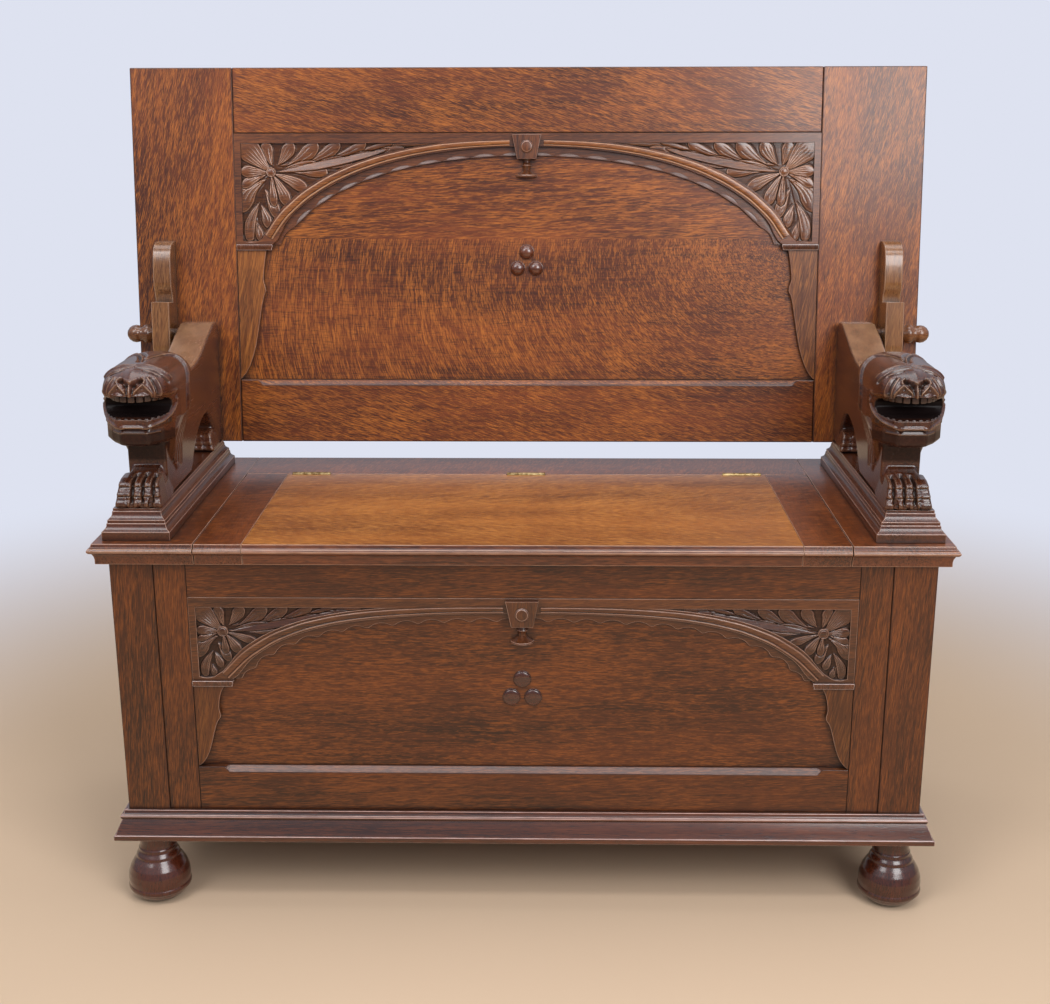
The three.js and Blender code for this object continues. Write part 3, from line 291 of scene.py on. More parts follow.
# The lower board of the back panel has its figure in arcs about a place near its upper right corner.
PANEL_SWEEP, PANEL_LEAN, PANEL_SQUEEZE, PANEL_JOINT = (0.42, 0.155), 0.17, 1.4, 0.128
# The edge colours below are rubbed wear with a painted highlight along the arrises, palest on the capitals
# and mouldings; SEAM is the dark colour of the joints.
finishes = {
    "cleat": oak("back_cleat_oak", BACK_DEEP, BACK_MID, BACK_GLEAM, run=straight(0.25), edge_wear_and_sheen=SEAM),
    "rail": oak("back_rail_oak", BACK_DEEP, BACK_MID, BACK_GLEAM, run=straight(-0.3), edge_wear_and_sheen=SEAM),
    "back_panel": oak("back_panel_oak", BACK_DEEP, BACK_MID, BACK_GLEAM, length=15, width=1.35, recess=16.0,
                      run=sweeping(PANEL_SWEEP, PANEL_LEAN, PANEL_SQUEEZE, PANEL_JOINT, 0.05)),
    "chest_post": oak("chest_post_oak", CHEST_DEEP, CHEST_MID, CHEST_GLEAM,
                      flecks=0.5, run=straight(0.08), length=16, edge_wear_and_sheen=SEAM),
    "chest_rail": oak("chest_rail_oak", CHEST_DEEP, CHEST_MID, CHEST_GLEAM,
                      flecks=0.5, run=straight(0.04), length=15, edge_wear_and_sheen=SEAM),
    "chest_panel": oak("chest_panel_oak", CHEST_DEEP, CHEST_MID, CHEST_GLEAM,
                       flecks=0.6, run=straight(0.0), length=11, width=1.3,
                       recess=16.0),
    "trim": oak("arch_oak", (60, 29, 15), (106, 56, 27), (156, 92, 44), recess_shade_strength=0.6,
                flecks=0.4, run=straight(0.1), length=16, edge_wear_and_sheen=EDGE_WEAR_AND_HIGHLIGHT, coat=0.5),
    "band": oak("arch_band_oak", (84, 42, 20), (138, 80, 38), (190, 124, 64),
                flecks=0.5, run=straight(0.1), length=16, edge_wear_and_sheen=(176, 132, 100), coat=0.5, recess_shade_strength=0.6,
                polish=0.26, recess=5.0),
    "front_trim": oak("front_arch_oak", (46, 22, 11), (86, 44, 20), (132, 76, 34),
                      flecks=0.4, run=straight(0.1), length=16, edge_wear_and_sheen=EDGE_WEAR_AND_HIGHLIGHT, coat=0.5),
    "front_band": oak("front_band_oak", (48, 23, 11), (88, 46, 22), (132, 78, 38),
                      flecks=0.4, run=straight(0.1), length=16, edge_wear_and_sheen=(150, 112, 90), coat=0.6,
                      polish=0.26, recess=5.0),
    "capital": oak("capital_oak", (54, 27, 16), (96, 52, 32), (140, 90, 60), flecks=0.3,
                   run=straight(0.0), edge_wear_and_sheen=(222, 202, 196), coat=0.6, polish=0.26, recess=6.0),
    # Pale lilac: a painted highlight for the lit gouge hollows of the scallops.
    "lit_scallop": oak("scallop_edge_oak", (74, 51, 43), (114, 86, 77), (148, 120, 111),
                flecks=0.2, length=8, recess_shade_strength=0.5, recess=4.0),
    "boss": oak("boss_oak", (70, 32, 18), (108, 56, 32), (150, 88, 54), flecks=0.2,
                length=8, polish=0.2, coat=0.9, recess=6.0),
    "front_boss": oak("front_boss_oak", (44, 19, 12), (74, 34, 21), (112, 60, 38), flecks=0.2,
                      length=8, polish=0.2, coat=0.9, recess=6.0),
    "leaves": oak("carved_leaf_oak", (56, 27, 14), (104, 56, 26), (156, 96, 44),
                  flecks=0.45, run=straight(0.1), length=14, polish=0.24, coat=0.7,
                  edge_wear_and_sheen=(200, 160, 138), carved=True, recess=4.0),
    "front_leaves": oak("front_leaf_oak", (38, 18, 10), (70, 35, 18), (108, 62, 32),
                        flecks=0.4, run=straight(0.1), length=14, polish=0.26, coat=0.6,
                        edge_wear_and_sheen=(156, 120, 102), carved=True, recess=4.0),
    "pilaster": oak("pilaster_oak", (78, 38, 16), (132, 76, 32), (184, 116, 52),
                    flecks=0.5, run=straight(0.2), length=34, width=2.0, edge_wear_and_sheen=EDGE_WEAR_AND_HIGHLIGHT),
    "front_pilaster": oak("front_pilaster_oak", (52, 25, 10), (92, 48, 20), (138, 82, 34),
                          flecks=0.45, run=straight(0.2), length=34, width=2.0, edge_wear_and_sheen=EDGE_WEAR_AND_HIGHLIGHT),
    "lid": oak("lid_oak", (104, 56, 23), (158, 94, 40), (206, 138, 68),
               flecks=0.75, run=chevron(0.35, -0.09), length=13, width=1.5, polish=0.3),
    "nosing": oak("nosing_oak", DARK_DEEP, (100, 50, 27), (146, 82, 44),
                  flecks=0.4, run=straight(0.0), length=18, polish=0.28, coat=0.5,
                  edge_wear_and_sheen=(176, 136, 112)),
    "seat": oak("seat_oak", (66, 31, 16), (112, 56, 26), (164, 92, 42),
                flecks=0.55, run=straight(1.3), length=12, width=2.2, polish=0.3, edge_wear_and_sheen=EDGE_WEAR_AND_HIGHLIGHT),
    "moulding": oak("moulding_oak", DARK_DEEP, DARK_MID, DARK_GLEAM,
                    flecks=0.3, run=straight(0.0), length=26, polish=0.22, coat=0.8, edge_wear_and_sheen=(196, 160, 150)),
    "plinth": oak("plinth_oak", DARK_DEEP, DARK_MID, DARK_GLEAM,
                  flecks=0.3, run=straight(0.0), length=26, polish=0.28, coat=0.5, edge_wear_and_sheen=(158, 122, 106)),
    "turned": oak("turned_oak", (46, 19, 12), (76, 32, 19), (106, 52, 29),
                  flecks=0.25, length=14, polish=0.2, coat=0.7, edge_wear_and_sheen=(120, 80, 56)),
    "peg": oak("peg_oak", (70, 38, 22), (120, 72, 40), (166, 110, 62),
               flecks=0.3, length=9, polish=0.24, coat=0.6),
    "runner": oak("runner_oak", (76, 42, 22), (130, 84, 46), (178, 126, 72),
                  flecks=0.35, length=20, polish=0.24, coat=0.7, edge_wear_and_sheen=(206, 174, 150)),
    "lion": oak("lion_oak", (46, 22, 14), (84, 43, 27), (126, 72, 42),
                flecks=0.25, run=straight(0.1), length=24, width=2.0, polish=0.26, coat=0.55,
                edge_wear_and_sheen=(192, 148, 110), carved=True, recess=8),
    # The teeth are darker than the lion: painted shade of the mouth they stand in.
    "teeth": oak("tooth_oak", (40, 24, 18), (66, 42, 32), (96, 68, 54),
                 flecks=0.2, length=8, polish=0.3, coat=0.6, edge_wear_and_sheen=(170, 146, 130), recess=4),
    "inside": oak("inside_oak", (84, 54, 30), (122, 84, 50), (150, 108, 66),
                  flecks=0.25, length=24, polish=0.6, coat=0.0),
    "brass": brass("worn_brass"),
}

# The ways a board's grain runs: along, across and through it.
GRAIN = {
    "x": (EAST, SKY, NORTH),
    "xy": (EAST, NORTH, SKY),
    "y": (NORTH, SKY, EAST),
    "yx": (NORTH, EAST, SKY),
    "z": (SKY, EAST, NORTH),
    "zy": (SKY, NORTH, EAST),
    "tx": (EAST, UP_TOP, OFF_TOP),
    "tu": (UP_TOP, EAST, OFF_TOP),
}


def coordinates(mesh):
    co = np.empty(len(mesh.vertices) * 3, np.float32)
    mesh.vertices.foreach_get("co", co)
    return co.reshape(-1, 3).astype(float)


def write_grain(mesh, axes, still, name):
    """Along, across and through the board, in metres; still boards keep the frame's own zero."""
    co = coordinates(mesh)
    rng = np.random.default_rng(zlib.crc32(name.encode()))
    shift = np.zeros(3) if still else rng.uniform(-5, 5, 3)
    start = np.array(PIVOT) if axes in ("tx", "tu") else np.zeros(3)
    basis = np.array([list(a) for a in GRAIN[axes]])
    values = ((co - start) @ basis.T + shift).astype(np.float32)
    attribute = mesh.attributes.new("grain", "FLOAT_VECTOR", "POINT")
    attribute.data.foreach_set("vector", values.ravel())


def write_share(mesh, label, values):
    """A value from 0 to 1 at each point, under the label that the oak reads."""
    attribute = mesh.attributes.new(label, "FLOAT", "POINT")
    attribute.data.foreach_set("value", values.astype(np.float32))


def add_object(name, data):
    obj = bpy.data.objects.new(name, data)
    bpy.context.scene.collection.objects.link(obj)
    return obj


def finished_mesh(obj):
    """The mesh that an object's modifiers make; the object itself is taken away."""
    shown = obj.evaluated_get(bpy.context.evaluated_depsgraph_get())
    mesh = bpy.data.meshes.new_from_object(shown)
    bpy.data.objects.remove(obj)
    return mesh


def smooth_faces(mesh):
    for polygon in mesh.polygons:
        polygon.use_smooth = True


def closed_sheet(name, points, faces, smooth_angle):
    """A smooth mesh of the given faces, all turned outward."""
    mesh = bpy.data.meshes.new(name)
    mesh.from_pydata([tuple(p) for p in points], [], faces)
    bm = bmesh.new()
    bm.from_mesh(mesh)
    bmesh.ops.recalc_face_normals(bm, faces=bm.faces)
    bm.to_mesh(mesh)
    bm.free()
    smooth_faces(mesh)
    mesh.set_sharp_from_angle(angle=math.radians(smooth_angle))
    return mesh


def ring_faces(rings, n, base=0):
    """The faces between rings of n points each, with one more face at either end."""
    faces = []
    for i in range(rings - 1):
        low, high = base + i * n, base + (i + 1) * n
        faces += [(low + j, low + (j + 1) % n, high + (j + 1) % n, high + j) for j in range(n)]
    last = base + (rings - 1) * n
    return faces + [list(range(base, base + n)), list(range(last, last + n))]


def mount(mesh, name, material, node, nodes=()):
    """Makes the object of a finished mesh with the given finish and ties it to the body of its node."""
    source = frame["nodes"][node]
    body, slot_name = source["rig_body"], source.data.materials[0].name
    obj = add_object(name, mesh)
    mesh.materials.clear()
    mesh.materials.append(finishes[material])
    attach(obj, body)
    if nodes:
        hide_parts(*nodes)
    return obj


def even_normals(obj):
    made = obj.modifiers.new("even_normals", "WEIGHTED_NORMAL")
    made.weight = 100
    made.keep_sharp = True


WORDS = ("left", "right")
PEG_SIDES = 16
CAPITAL_FOOT = {"top": 112.3, "front": 291.7}
NOSING_BACK = -214.0
ARC_LONGEST = 50 * MM
ARC_TURN = math.radians(60)


def round_arcs(bm, along, cuts):
    """Splits the short edges of the outlines square to along, and moves the new corners onto smooth arcs."""
    def flat(face, low, high):
        return low <= abs(face.normal.dot(along)) <= high

    outline = []
    for e in bm.edges:
        if len(e.link_faces) != 2 or abs((e.verts[1].co - e.verts[0].co).normalized().dot(along)) > 0.02:
            continue
        a, b = e.link_faces
        if (flat(a, 0.9, 1) and flat(b, 0, 0.3)) or (flat(b, 0.9, 1) and flat(a, 0, 0.3)):
            outline.append(e)
    chosen = set(outline)

    def leaving(e, v):
        """The neighbour of e beyond v in the same outline."""
        near = [f for f in v.link_edges if f in chosen and f is not e]
        return near[0] if len(near) == 1 else None

    def heading(e, v):
        """The direction of the smooth curve at the end v of e, pointing out of e, or None at a corner."""
        own = (v.co - e.other_vert(v).co)
        f = leaving(e, v)
        if not f:
            return None
        other = f.other_vert(v).co - v.co
        turn = own.angle(other, 9)
        if turn > ARC_TURN or turn < 1e-3:
            return None
        if other.length > ARC_LONGEST:
            return other.normalized()
        return (own.normalized() + other.normalized()).normalized()

    jobs = []
    for e in outline:
        if e.calc_length() > ARC_LONGEST:
            continue
        v0, v1 = e.verts
        t0, t1 = heading(e, v0), heading(e, v1)
        if t0 is None and t1 is None:
            continue
        chord = (v1.co - v0.co).normalized()
        t0 = -t0 if t0 is not None else (2 * chord * chord.dot(t1) - t1).normalized()
        if t1 is None:
            t1 = (2 * chord * chord.dot(t0) - t0).normalized()
        jobs.append((e, v0.co.copy(), v1.co.copy(), t0, t1))
    if not jobs:
        return
    bmesh.ops.subdivide_edges(bm, edges=[j[0] for j in jobs], cuts=cuts, use_grid_fill=True)
    bm.verts.ensure_lookup_table()
    tree = KDTree(len(bm.verts))
    for i, v in enumerate(bm.verts):
        tree.insert(v.co, i)
    tree.balance()
    moves = {}
    for e, p0, p1, t0, t1 in jobs:
        size = (p1 - p0).length
        for k in range(1, cuts + 1):
            t = k / (cuts + 1)
            _, i, gap = tree.find(p0.lerp(p1, t))
            if gap > 2e-6:
                continue
            h01 = t * t * (3 - 2 * t)
            h10 = t * (1 - t) ** 2
            h11 = t * t * (t - 1)
            moves[i] = p0.lerp(p1, h01) + t0 * (size * h10) + t1 * (size * h11)
    for i, place in moves.items():
        bm.verts[i].co = place


def softened(node, width, segments=2, arcs=None, prepare=None):
    """A copy of a node's mesh with its flat faces joined and its sharp outer edges rounded."""
    bm = bmesh.new()
    bm.from_mesh(frame["nodes"][node].data)
    bmesh.ops.remove_doubles(bm, verts=bm.verts, dist=2e-6)
    bmesh.ops.dissolve_limit(bm, angle_limit=math.radians(0.6), verts=bm.verts, edges=bm.edges)
    if prepare:
        prepare(bm)
    if arcs:
        round_arcs(bm, *arcs)
    # The rounded edges are marked for the edge colour: wear, and a painted highlight.
    layer = bm.faces.layers.float.new("wear")
    if width:
        sharp = [
            e for e in bm.edges
            if len(e.link_faces) == 2 and e.is_convex and e.calc_face_angle(0) > math.radians(32)
        ]
        made = bmesh.ops.bevel(
            bm, geom=sharp, offset=width * MM, offset_type="OFFSET", segments=segments,
            profile=0.6, affect="EDGES", clamp_overlap=True, loop_slide=True,
        )
        for face in made["faces"]:
            face[layer] = 1.0
    return bm


def as_mesh(bm, name, smooth_angle=38):
    for face in bm.faces:
        face.smooth = True
    mesh = bpy.data.meshes.new(name)
    bm.to_mesh(mesh)
    bm.free()
    mesh.set_sharp_from_angle(angle=math.radians(smooth_angle))
    return mesh


def board(node, material, axes, width=1.1, still=False, segments=2, arcs=None, prepare=None):
    mesh = as_mesh(softened(node, width, segments, arcs, prepare), node + "_wood")
    write_grain(mesh, axes, still, node)
    even_normals(mount(mesh, node + "_wood", material, node, [node]))


# The ball foot's outline on the wheel: height and radius in millimetres, floor to neck.
FOOT_OUTLINE = [
    (0.3, 0), (0.3, 21), (1.2, 24.5), (6, 31), (11, 35.2), (13.2, 36.2), (14.4, 38.2), (17, 39), (19.8, 38.6),
    (21.2, 37.6), (22.2, 37.8), (28, 38.3), (36, 37.4), (44, 34.6), (51, 30.6), (56, 27.0), (57.2, 26.6),
    (58.4, 26.9), (60, 26.2), (64, 23.6), (66, 22.9), (67, 23.4), (68.4, 23.4), (69.6, 22.4), (74, 21.4),
    (82, 21.6), (88, 23.4), (92.6, 27.0), (92.6, 0),
]
FOOT_SIDES = 96


def ball_foot(node, centre):
    """A turned foot, drawn on the wheel about its own upright line."""
    outline = np.array(FOOT_OUTLINE, float)
    sizes = np.hypot(*np.diff(outline, axis=0).T)
    reach = np.concatenate([[0], np.cumsum(sizes)])
    at = np.unique(np.concatenate([reach, np.arange(reach[1], reach[-2], 0.9)]))
    profile = np.column_stack([np.interp(at, reach, outline[:, k]) for k in range(2)])
    inner = slice(2, -2)
    soft = profile.copy()
    for _ in range(3):
        soft[inner] = (soft[1:-3] + 2 * soft[inner] + soft[3:-1]) / 4
    rings = soft[1:-1]
    angle = np.linspace(0, 2 * math.pi, FOOT_SIDES, endpoint=False)
    co = [(centre[0] + r * MM * math.cos(t), centre[1] + r * MM * math.sin(t), h * MM)
          for h, r in rings for t in angle]
    mesh = closed_sheet(node + "_wood", co, ring_faces(len(rings), FOOT_SIDES), 50)
    write_grain(mesh, "z", False, node)
    mount(mesh, node + "_wood", "turned", node, [node])


def turned(node, material, centre, axis, sides, cuts=5):
    """A turned node with each of its sides split, and every new corner moved out to the round."""
    bm = softened(node, 0)
    a, b = [k for k in range(3) if k != axis]
    step = 2 * math.pi / sides

    def polar(co):
        x, y = co[a] - centre[0], co[b] - centre[1]
        return math.hypot(x, y), math.atan2(y, x)

    rings = []
    for e in bm.edges:
        r0, t0 = polar(e.verts[0].co)
        r1, t1 = polar(e.verts[1].co)
        level = abs(e.verts[0].co[axis] - e.verts[1].co[axis]) < 1e-6
        if level and abs(r0 - r1) < 2e-6 and r0 > 1e-4:
            rings.append(e)
    start = polar(rings[0].verts[0].co)[1]
    bmesh.ops.subdivide_edges(bm, edges=rings, cuts=cuts, use_grid_fill=True)
    for vert in bm.verts:
        r, t = polar(vert.co)
        phi = (t - start) % step - step / 2
        grown = r * math.cos(phi) / math.cos(step / 2)
        vert.co[a] = centre[0] + grown * math.cos(t)
        vert.co[b] = centre[1] + grown * math.sin(t)
    mesh = as_mesh(bm, node + "_wood", 50)
    write_grain(mesh, "x" if axis == 0 else "z", False, node)
    mount(mesh, node + "_wood", material, node, [node])


# The two sunk corners of each arch: where the node's own floor lies, and how deep the carver went.
class Pocket:
    """A sunk corner of an arch. up and off are the board's own directions, start its zero."""

    def __init__(self, node, up, off, start, floor, deeper, axes, prefix):
        self.node, self.up, self.off, self.start = node, up, off, start
        self.axes, self.prefix = axes, prefix
        self.floor = floor * MM
        self.deeper = deeper * MM

    def depth(self, co):
        return (co - self.start).dot(self.off)

    def sink(self, bm):
        """Lowers the pocket's floor, and keeps its outline in millimetres from the upper outer corner."""
        floor = [v for v in bm.verts if abs(self.depth(v.co) - self.floor) < 1e-4]
        left = [v.co for v in floor if v.co.x < 0]
        x0 = min(c.x for c in left)
        top = max((c - self.start).dot(self.up) for c in left)
        self.x0, self.top = x0, top
        rim = sorted(
            ((c.x - x0) / MM, (top - (c - self.start).dot(self.up)) / MM)
            for c in left
        )
        self.rim = np.array([r for r in rim if r[1] > 0.3])
        for v in floor:
            v.co -= self.off * self.deeper

    def place(self, a, b, h, side):
        """The point a along, b down and h above the lowered floor, in millimetres; side is -1 on the left."""
        x = (self.x0 + a * MM) * -side
        rise = self.top - b * MM
        out = self.floor - self.deeper + h * MM
        co = np.outer(np.ones(len(a)), np.array(self.start))
        co += np.outer(x, np.array(EAST))
        co += np.outer(rise, np.array(self.up)) + np.outer(out, np.array(self.off))
        return co


POCKETS = {
    "top": Pocket("top_arch", UP_TOP, OFF_TOP, PIVOT, -19.2, 2.2, "tx", ""),
    "front": Pocket("front_arch", SKY, FRONT, Vector((0, 0, 0)), 206.87, 2.0, "x", "front_"),
}

for word in WORDS:
    board("post_front_" + word, "chest_post", "z")
    board("post_back_" + word, "chest_post", "zy")
    board("front_stile_" + word, "chest_post", "z", 0.6)
    board("side_top_rail_" + word, "chest_rail", "y", 0.8)
    board("side_bottom_rail_" + word, "chest_rail", "y", 0.8)
    board("side_panel_" + word, "chest_panel", "y")
    board("base_moulding_" + word, "moulding", "y", 0.7)
    board("seat_end_" + word, "seat", "yx", 0.7)
    board("lid_cleat_" + word, "seat", "yx", 0.7)
    board("front_pilaster_" + word, "front_pilaster", "z", 0.7, arcs=(FRONT, 3))
    board("top_pilaster_" + word, "pilaster", "tu", 0.7, arcs=(OFF_TOP, 3))
    board("top_cleat_" + word, "cleat", "tu", 1.6)
    board("top_runner_" + word, "runner", "tu", 0.9, arcs=(EAST, 3))
    board("arm_plinth_" + word, "plinth", "y", 0.6)
for node, material, axes, width in [
    ("front_top_rail", "chest_rail", "x", 0.8),
    ("front_bottom_rail", "chest_rail", "x", 0.8),
    ("front_panel", "chest_panel", "x", 0.4),
    ("back_board", "inside", "x", 0.8),
    ("bottom_board", "inside", "xy", 0.8),
    ("base_moulding_front", "moulding", "x", 0.7),
    ("seat_rear_rail", "seat", "xy", 0.7),
    ("front_keystone", "front_trim", "z", 0.5),
    ("top_upper_rail", "rail", "tx", 1.6),
    ("top_lower_rail", "rail", "tx", 1.6),
    ("top_keystone", "trim", "tu", 0.5),
]:
    board(node, material, axes, width)
board("front_arch", "front_trim", "x", 0.5, arcs=(FRONT, 3), prepare=POCKETS["front"].sink)
board("top_arch", "trim", "tx", 0.5, arcs=(OFF_TOP, 3), prepare=POCKETS["top"].sink)
board("lid_panel", "lid", "xy", 0.7, still=True)
board("top_panel", "back_panel", "tx", 0.4, still=True)
for word in WORDS:
    for place in ("fixed", "lid"):
        board(f"hinge_{place}_leaf_{word}", "brass", "x", 0.2)
for place in ("fixed", "lid"):
    board(f"hinge_{place}_leaf_middle", "brass", "x", 0.2)
for place in ("front", "back"):
    for word in WORDS:
        node = f"bun_foot_{place}_{word}"
        low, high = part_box(node)
        ball_foot(node, ((low.x + high.x) / 2, (low.y + high.y) / 2))
for word in WORDS:
    turned("pivot_peg_" + word, "peg", (PIVOT.y, PIVOT.z), 0, PEG_SIDES)


def repaint(name, material, chosen):
    """Gives some faces of a finished piece another finish."""
    mesh = bpy.data.objects[name + "_wood"].data
    mesh.materials.append(finishes[material])
    for polygon in mesh.polygons:
        if chosen(polygon):
            polygon.material_index = len(mesh.materials) - 1


def above_foot(kind):
    """True for the faces of a pilaster's capital."""
    pocket = POCKETS[kind]
    return lambda polygon: (polygon.center - pocket.start).dot(pocket.up) > CAPITAL_FOOT[kind] * MM


for kind in POCKETS:
    for word in WORDS:
        repaint(f"{kind}_pilaster_{word}", "capital", above_foot(kind))


# The moulded front edge of the seat is darker than its boards.
for node in ("lid_panel", "lid_cleat_left", "lid_cleat_right", "seat_end_left", "seat_end_right"):
    repaint(node, "nosing", lambda polygon: polygon.center.y < NOSING_BACK * MM)


# The corner carving is laid out once, on the top's pocket, in millimetres along and down from the
# pocket's upper outer corner. The chest's smaller pocket holds the same leaves, drawn in.
DRAWN_IN = {
    "top": ((0, 40.1, 275.2), (0, 40.1, 275.2), (0, 38.3, 130.2), (0, 38.3, 130.2)),
    "front": ((0, 30.7, 225.6), (0, 40.1, 275.2), (0, 30.7, 88.0), (0, 38.3, 130.2)),
}
# Each leaf: where it starts, where its tip is, how far it bows (share of its length), its half width,
# where along it is widest (share), its veins, and how high it stands.
LEAVES = [
    ((46, 29), (172, 9.5), 0.03, 6.6, 0.35, 0, 2.0),
    ((196, 3.5), (268, 0.2), 0.0, 3.4, 0.2, 0, 3.2),
    ((152, 13), (206, 0.5), 0.0, 5.2, 0.6, 0, 2.6),
    ((120, 19.5), (170, 0.0), 0.04, 7.2, 0.66, 1, 2.8),
    ((90, 24), (134, -0.6), 0.06, 9.0, 0.64, 2, 3.0),
    ((62, 29), (103.5, -1.0), 0.07, 10.4, 0.64, 2, 3.1),
    ((49, 29), (69, -2.0), 0.06, 9.6, 0.62, 3, 3.2),
    ((42.5, 30), (33.5, -2.0), -0.05, 9.0, 0.62, 2, 3.3),
    ((168, 16.5), (222, 6.6), -0.03, 4.6, 0.55, 0, 2.6),
    ((132, 26.5), (184, 16.5), -0.06, 6.6, 0.62, 1, 2.8),
    ((84, 37), (151, 27), -0.08, 8.4, 0.64, 2, 3.0),
    ((50, 40), (117, 41), -0.12, 11.0, 0.64, 3, 3.2),
    ((19, 104), (24.5, 132), 0.0, 6.0, 0.55, 1, 2.6),
    ((25, 81), (35, 113), -0.04, 7.0, 0.6, 2, 2.8),
    ((30, 60), (47, 100), -0.05, 8.0, 0.62, 2, 3.0),
    ((23.5, 78), (9, 132), 0.08, 9.0, 0.56, 2, 2.8),
    ((33.5, 48), (-0.5, 92), 0.16, 12.6, 0.62, 3, 3.0),
    ((41, 40), (89, 63), -0.05, 8.4, 0.68, 3, 3.3),
    ((41, 40), (62, 83), -0.04, 8.4, 0.68, 3, 3.3),
    ((40.5, 40), (43.5, 84), 0.0, 6.2, 0.68, 2, 3.4),
    ((39, 39), (-0.5, 58), 0.06, 7.2, 0.68, 3, 3.2),
    ((39, 38), (-1.5, 37), 0.0, 8.4, 0.68, 4, 3.3),
    ((39, 37), (1.0, -1.0), 0.0, 16.0, 0.68, 5, 3.4),
]
# The long blade from the flower to the tip: its ends, bow, half width, widest share, and how much
# higher its lower edge stands than its upper one.
BLADE = ((44, 38.5), (200, 8.0), 0.02, 5.4, 0.36, 2.6)
MIDRIB = ((34.3, 46.6), (27.2, 72.8), (18.7, 100.0), (14.9, 126.0))
EDGE_FALL = 1.4
CARVING_DEEPEST = 4.3
VEIN_HALF, VEIN_DEPTH = 0.55, 0.9
MIDRIB_HALF, MIDRIB_DEPTH = 0.9, 1.6
# What stays of the leaves under another leaf, and the cut round it.
UNDER_LEAF, CUT_WIDTH, CUT_DEPTH = 1.6, 1.0, 1.5
# The flower in the middle: a button, a petal ring round it and the groove between them.
BUTTON_RADIUS, FLOWER_RADIUS, GROOVE_RADIUS = 5.0, 6.6, 4.9


def nearest_on(path, a, b):
    """How far each point is from a path, which side it is on, and where along the path it comes nearest."""
    best = np.full(a.shape, 1e9)
    share = np.zeros(a.shape)
    side = np.ones(a.shape)
    count = len(path) - 1
    for k in range(count):
        p, q = path[k], path[k + 1]
        step = q - p
        size2 = float(step @ step)
        t = np.clip(((a - p[0]) * step[0] + (b - p[1]) * step[1]) / size2, 0, 1)
        da, db = a - p[0] - t * step[0], b - p[1] - t * step[1]
        gap = np.hypot(da, db)
        closer = gap < best
        best = np.where(closer, gap, best)
        share = np.where(closer, (k + t) / count, share)
        side = np.where(closer, np.sign(step[0] * db - step[1] * da), side)
    return best, side, share


def leaf_place(a, b, start, tip, bow, half, widest):
    """How far inside the leaf's edge each point is, its side, share of the length, and the width there."""
    start, tip = np.array(start, float), np.array(tip, float)
    across = np.array([-(tip - start)[1], (tip - start)[0]])
    middle = (start + tip) / 2 + across * bow * 2
    t = np.linspace(0, 1, 25)[:, None]
    path = start * (1 - t) ** 2 + 2 * middle * t * (1 - t) + tip * t ** 2
    gap, side, s = nearest_on(path, a, b)
    opening = np.clip(s / widest, 0, 1) ** 0.75
    closing = np.sqrt(np.clip(1 - (np.clip(s - widest, 0, 1) / (1 - widest)) ** 2.6, 0, 1))
    width = half * opening * closing
    return width - gap, side * gap, s, width


def lay_over(ground, height, inside, s):
    """One more leaf over what is there, with a cut round its edge."""
    fall = np.clip(inside / EDGE_FALL, 0, 1)
    fall = fall * fall * (3 - 2 * fall)
    under = np.minimum(ground, UNDER_LEAF)
    raised = under + (np.maximum(height, 0) - under) * fall
    cut = CUT_DEPTH * np.exp(-(np.minimum(inside, 0) / CUT_WIDTH) ** 2) * (inside < 0) * (s > 0.02)
    return np.where(inside > 0, raised, np.maximum(ground - cut, 0))


def carving_height(kind, a, b):
    """Height above the pocket's floor, in millimetres."""
    along, along_full, down, down_full = DRAWN_IN[kind]
    u = np.interp(a, along, along_full)
    v = np.interp(b, down, down_full)
    height = np.full(a.shape, 0.5)
    for start, tip, bow, half, widest, veins, rise in LEAVES:
        inside, across, s, width = leaf_place(u, v, start, tip, bow, half, widest)
        ratio = np.clip(np.abs(across) / np.maximum(width, 0.2), 0, 1)
        leaf = rise - 0.9 * ratio ** 2 + 0.4 * np.sin(np.pi * np.clip(s, 0, 1)) - 0.5 * (1 - s)
        for k in range(veins):
            offset = (k + 0.5) / veins * 2 - 1
            line = across - offset * 0.75 * width
            fade = np.clip(s / 0.12, 0, 1) * np.clip((0.8 - s) / 0.25, 0, 1)
            leaf = leaf - VEIN_DEPTH * np.exp(-(line / VEIN_HALF) ** 2) * fade
        height = lay_over(height, leaf, inside, s)
    gap, _, s = nearest_on(np.array(MIDRIB), u, v)
    groove = MIDRIB_DEPTH * np.exp(-(gap / MIDRIB_HALF) ** 2)
    height = height - groove * (s > 0) * (s < 1)
    start, tip, bow, half, widest, lean = BLADE
    inside, across, s, width = leaf_place(u, v, start, tip, bow, half, widest)
    leaf = 2.7 + lean * 0.5 * across / half
    height = lay_over(height, leaf, inside, s)
    reach = np.hypot(a - along[1], b - down[1])
    boss = 4.3 - 0.035 * reach ** 2
    boss = np.where(reach > BUTTON_RADIUS, 4.0 - 1.4 * ((reach - BUTTON_RADIUS) / 1.6) ** 2, boss)
    boss = boss - 0.9 * np.exp(-((reach - GROOVE_RADIUS) / 0.5) ** 2)
    return np.clip(np.where(reach < FLOWER_RADIUS, boss, height), 0.15, CARVING_DEEPEST)


CARVING_STEP = 0.62
CARVING_ROWS = 168
CARVING_GAP = 0.15


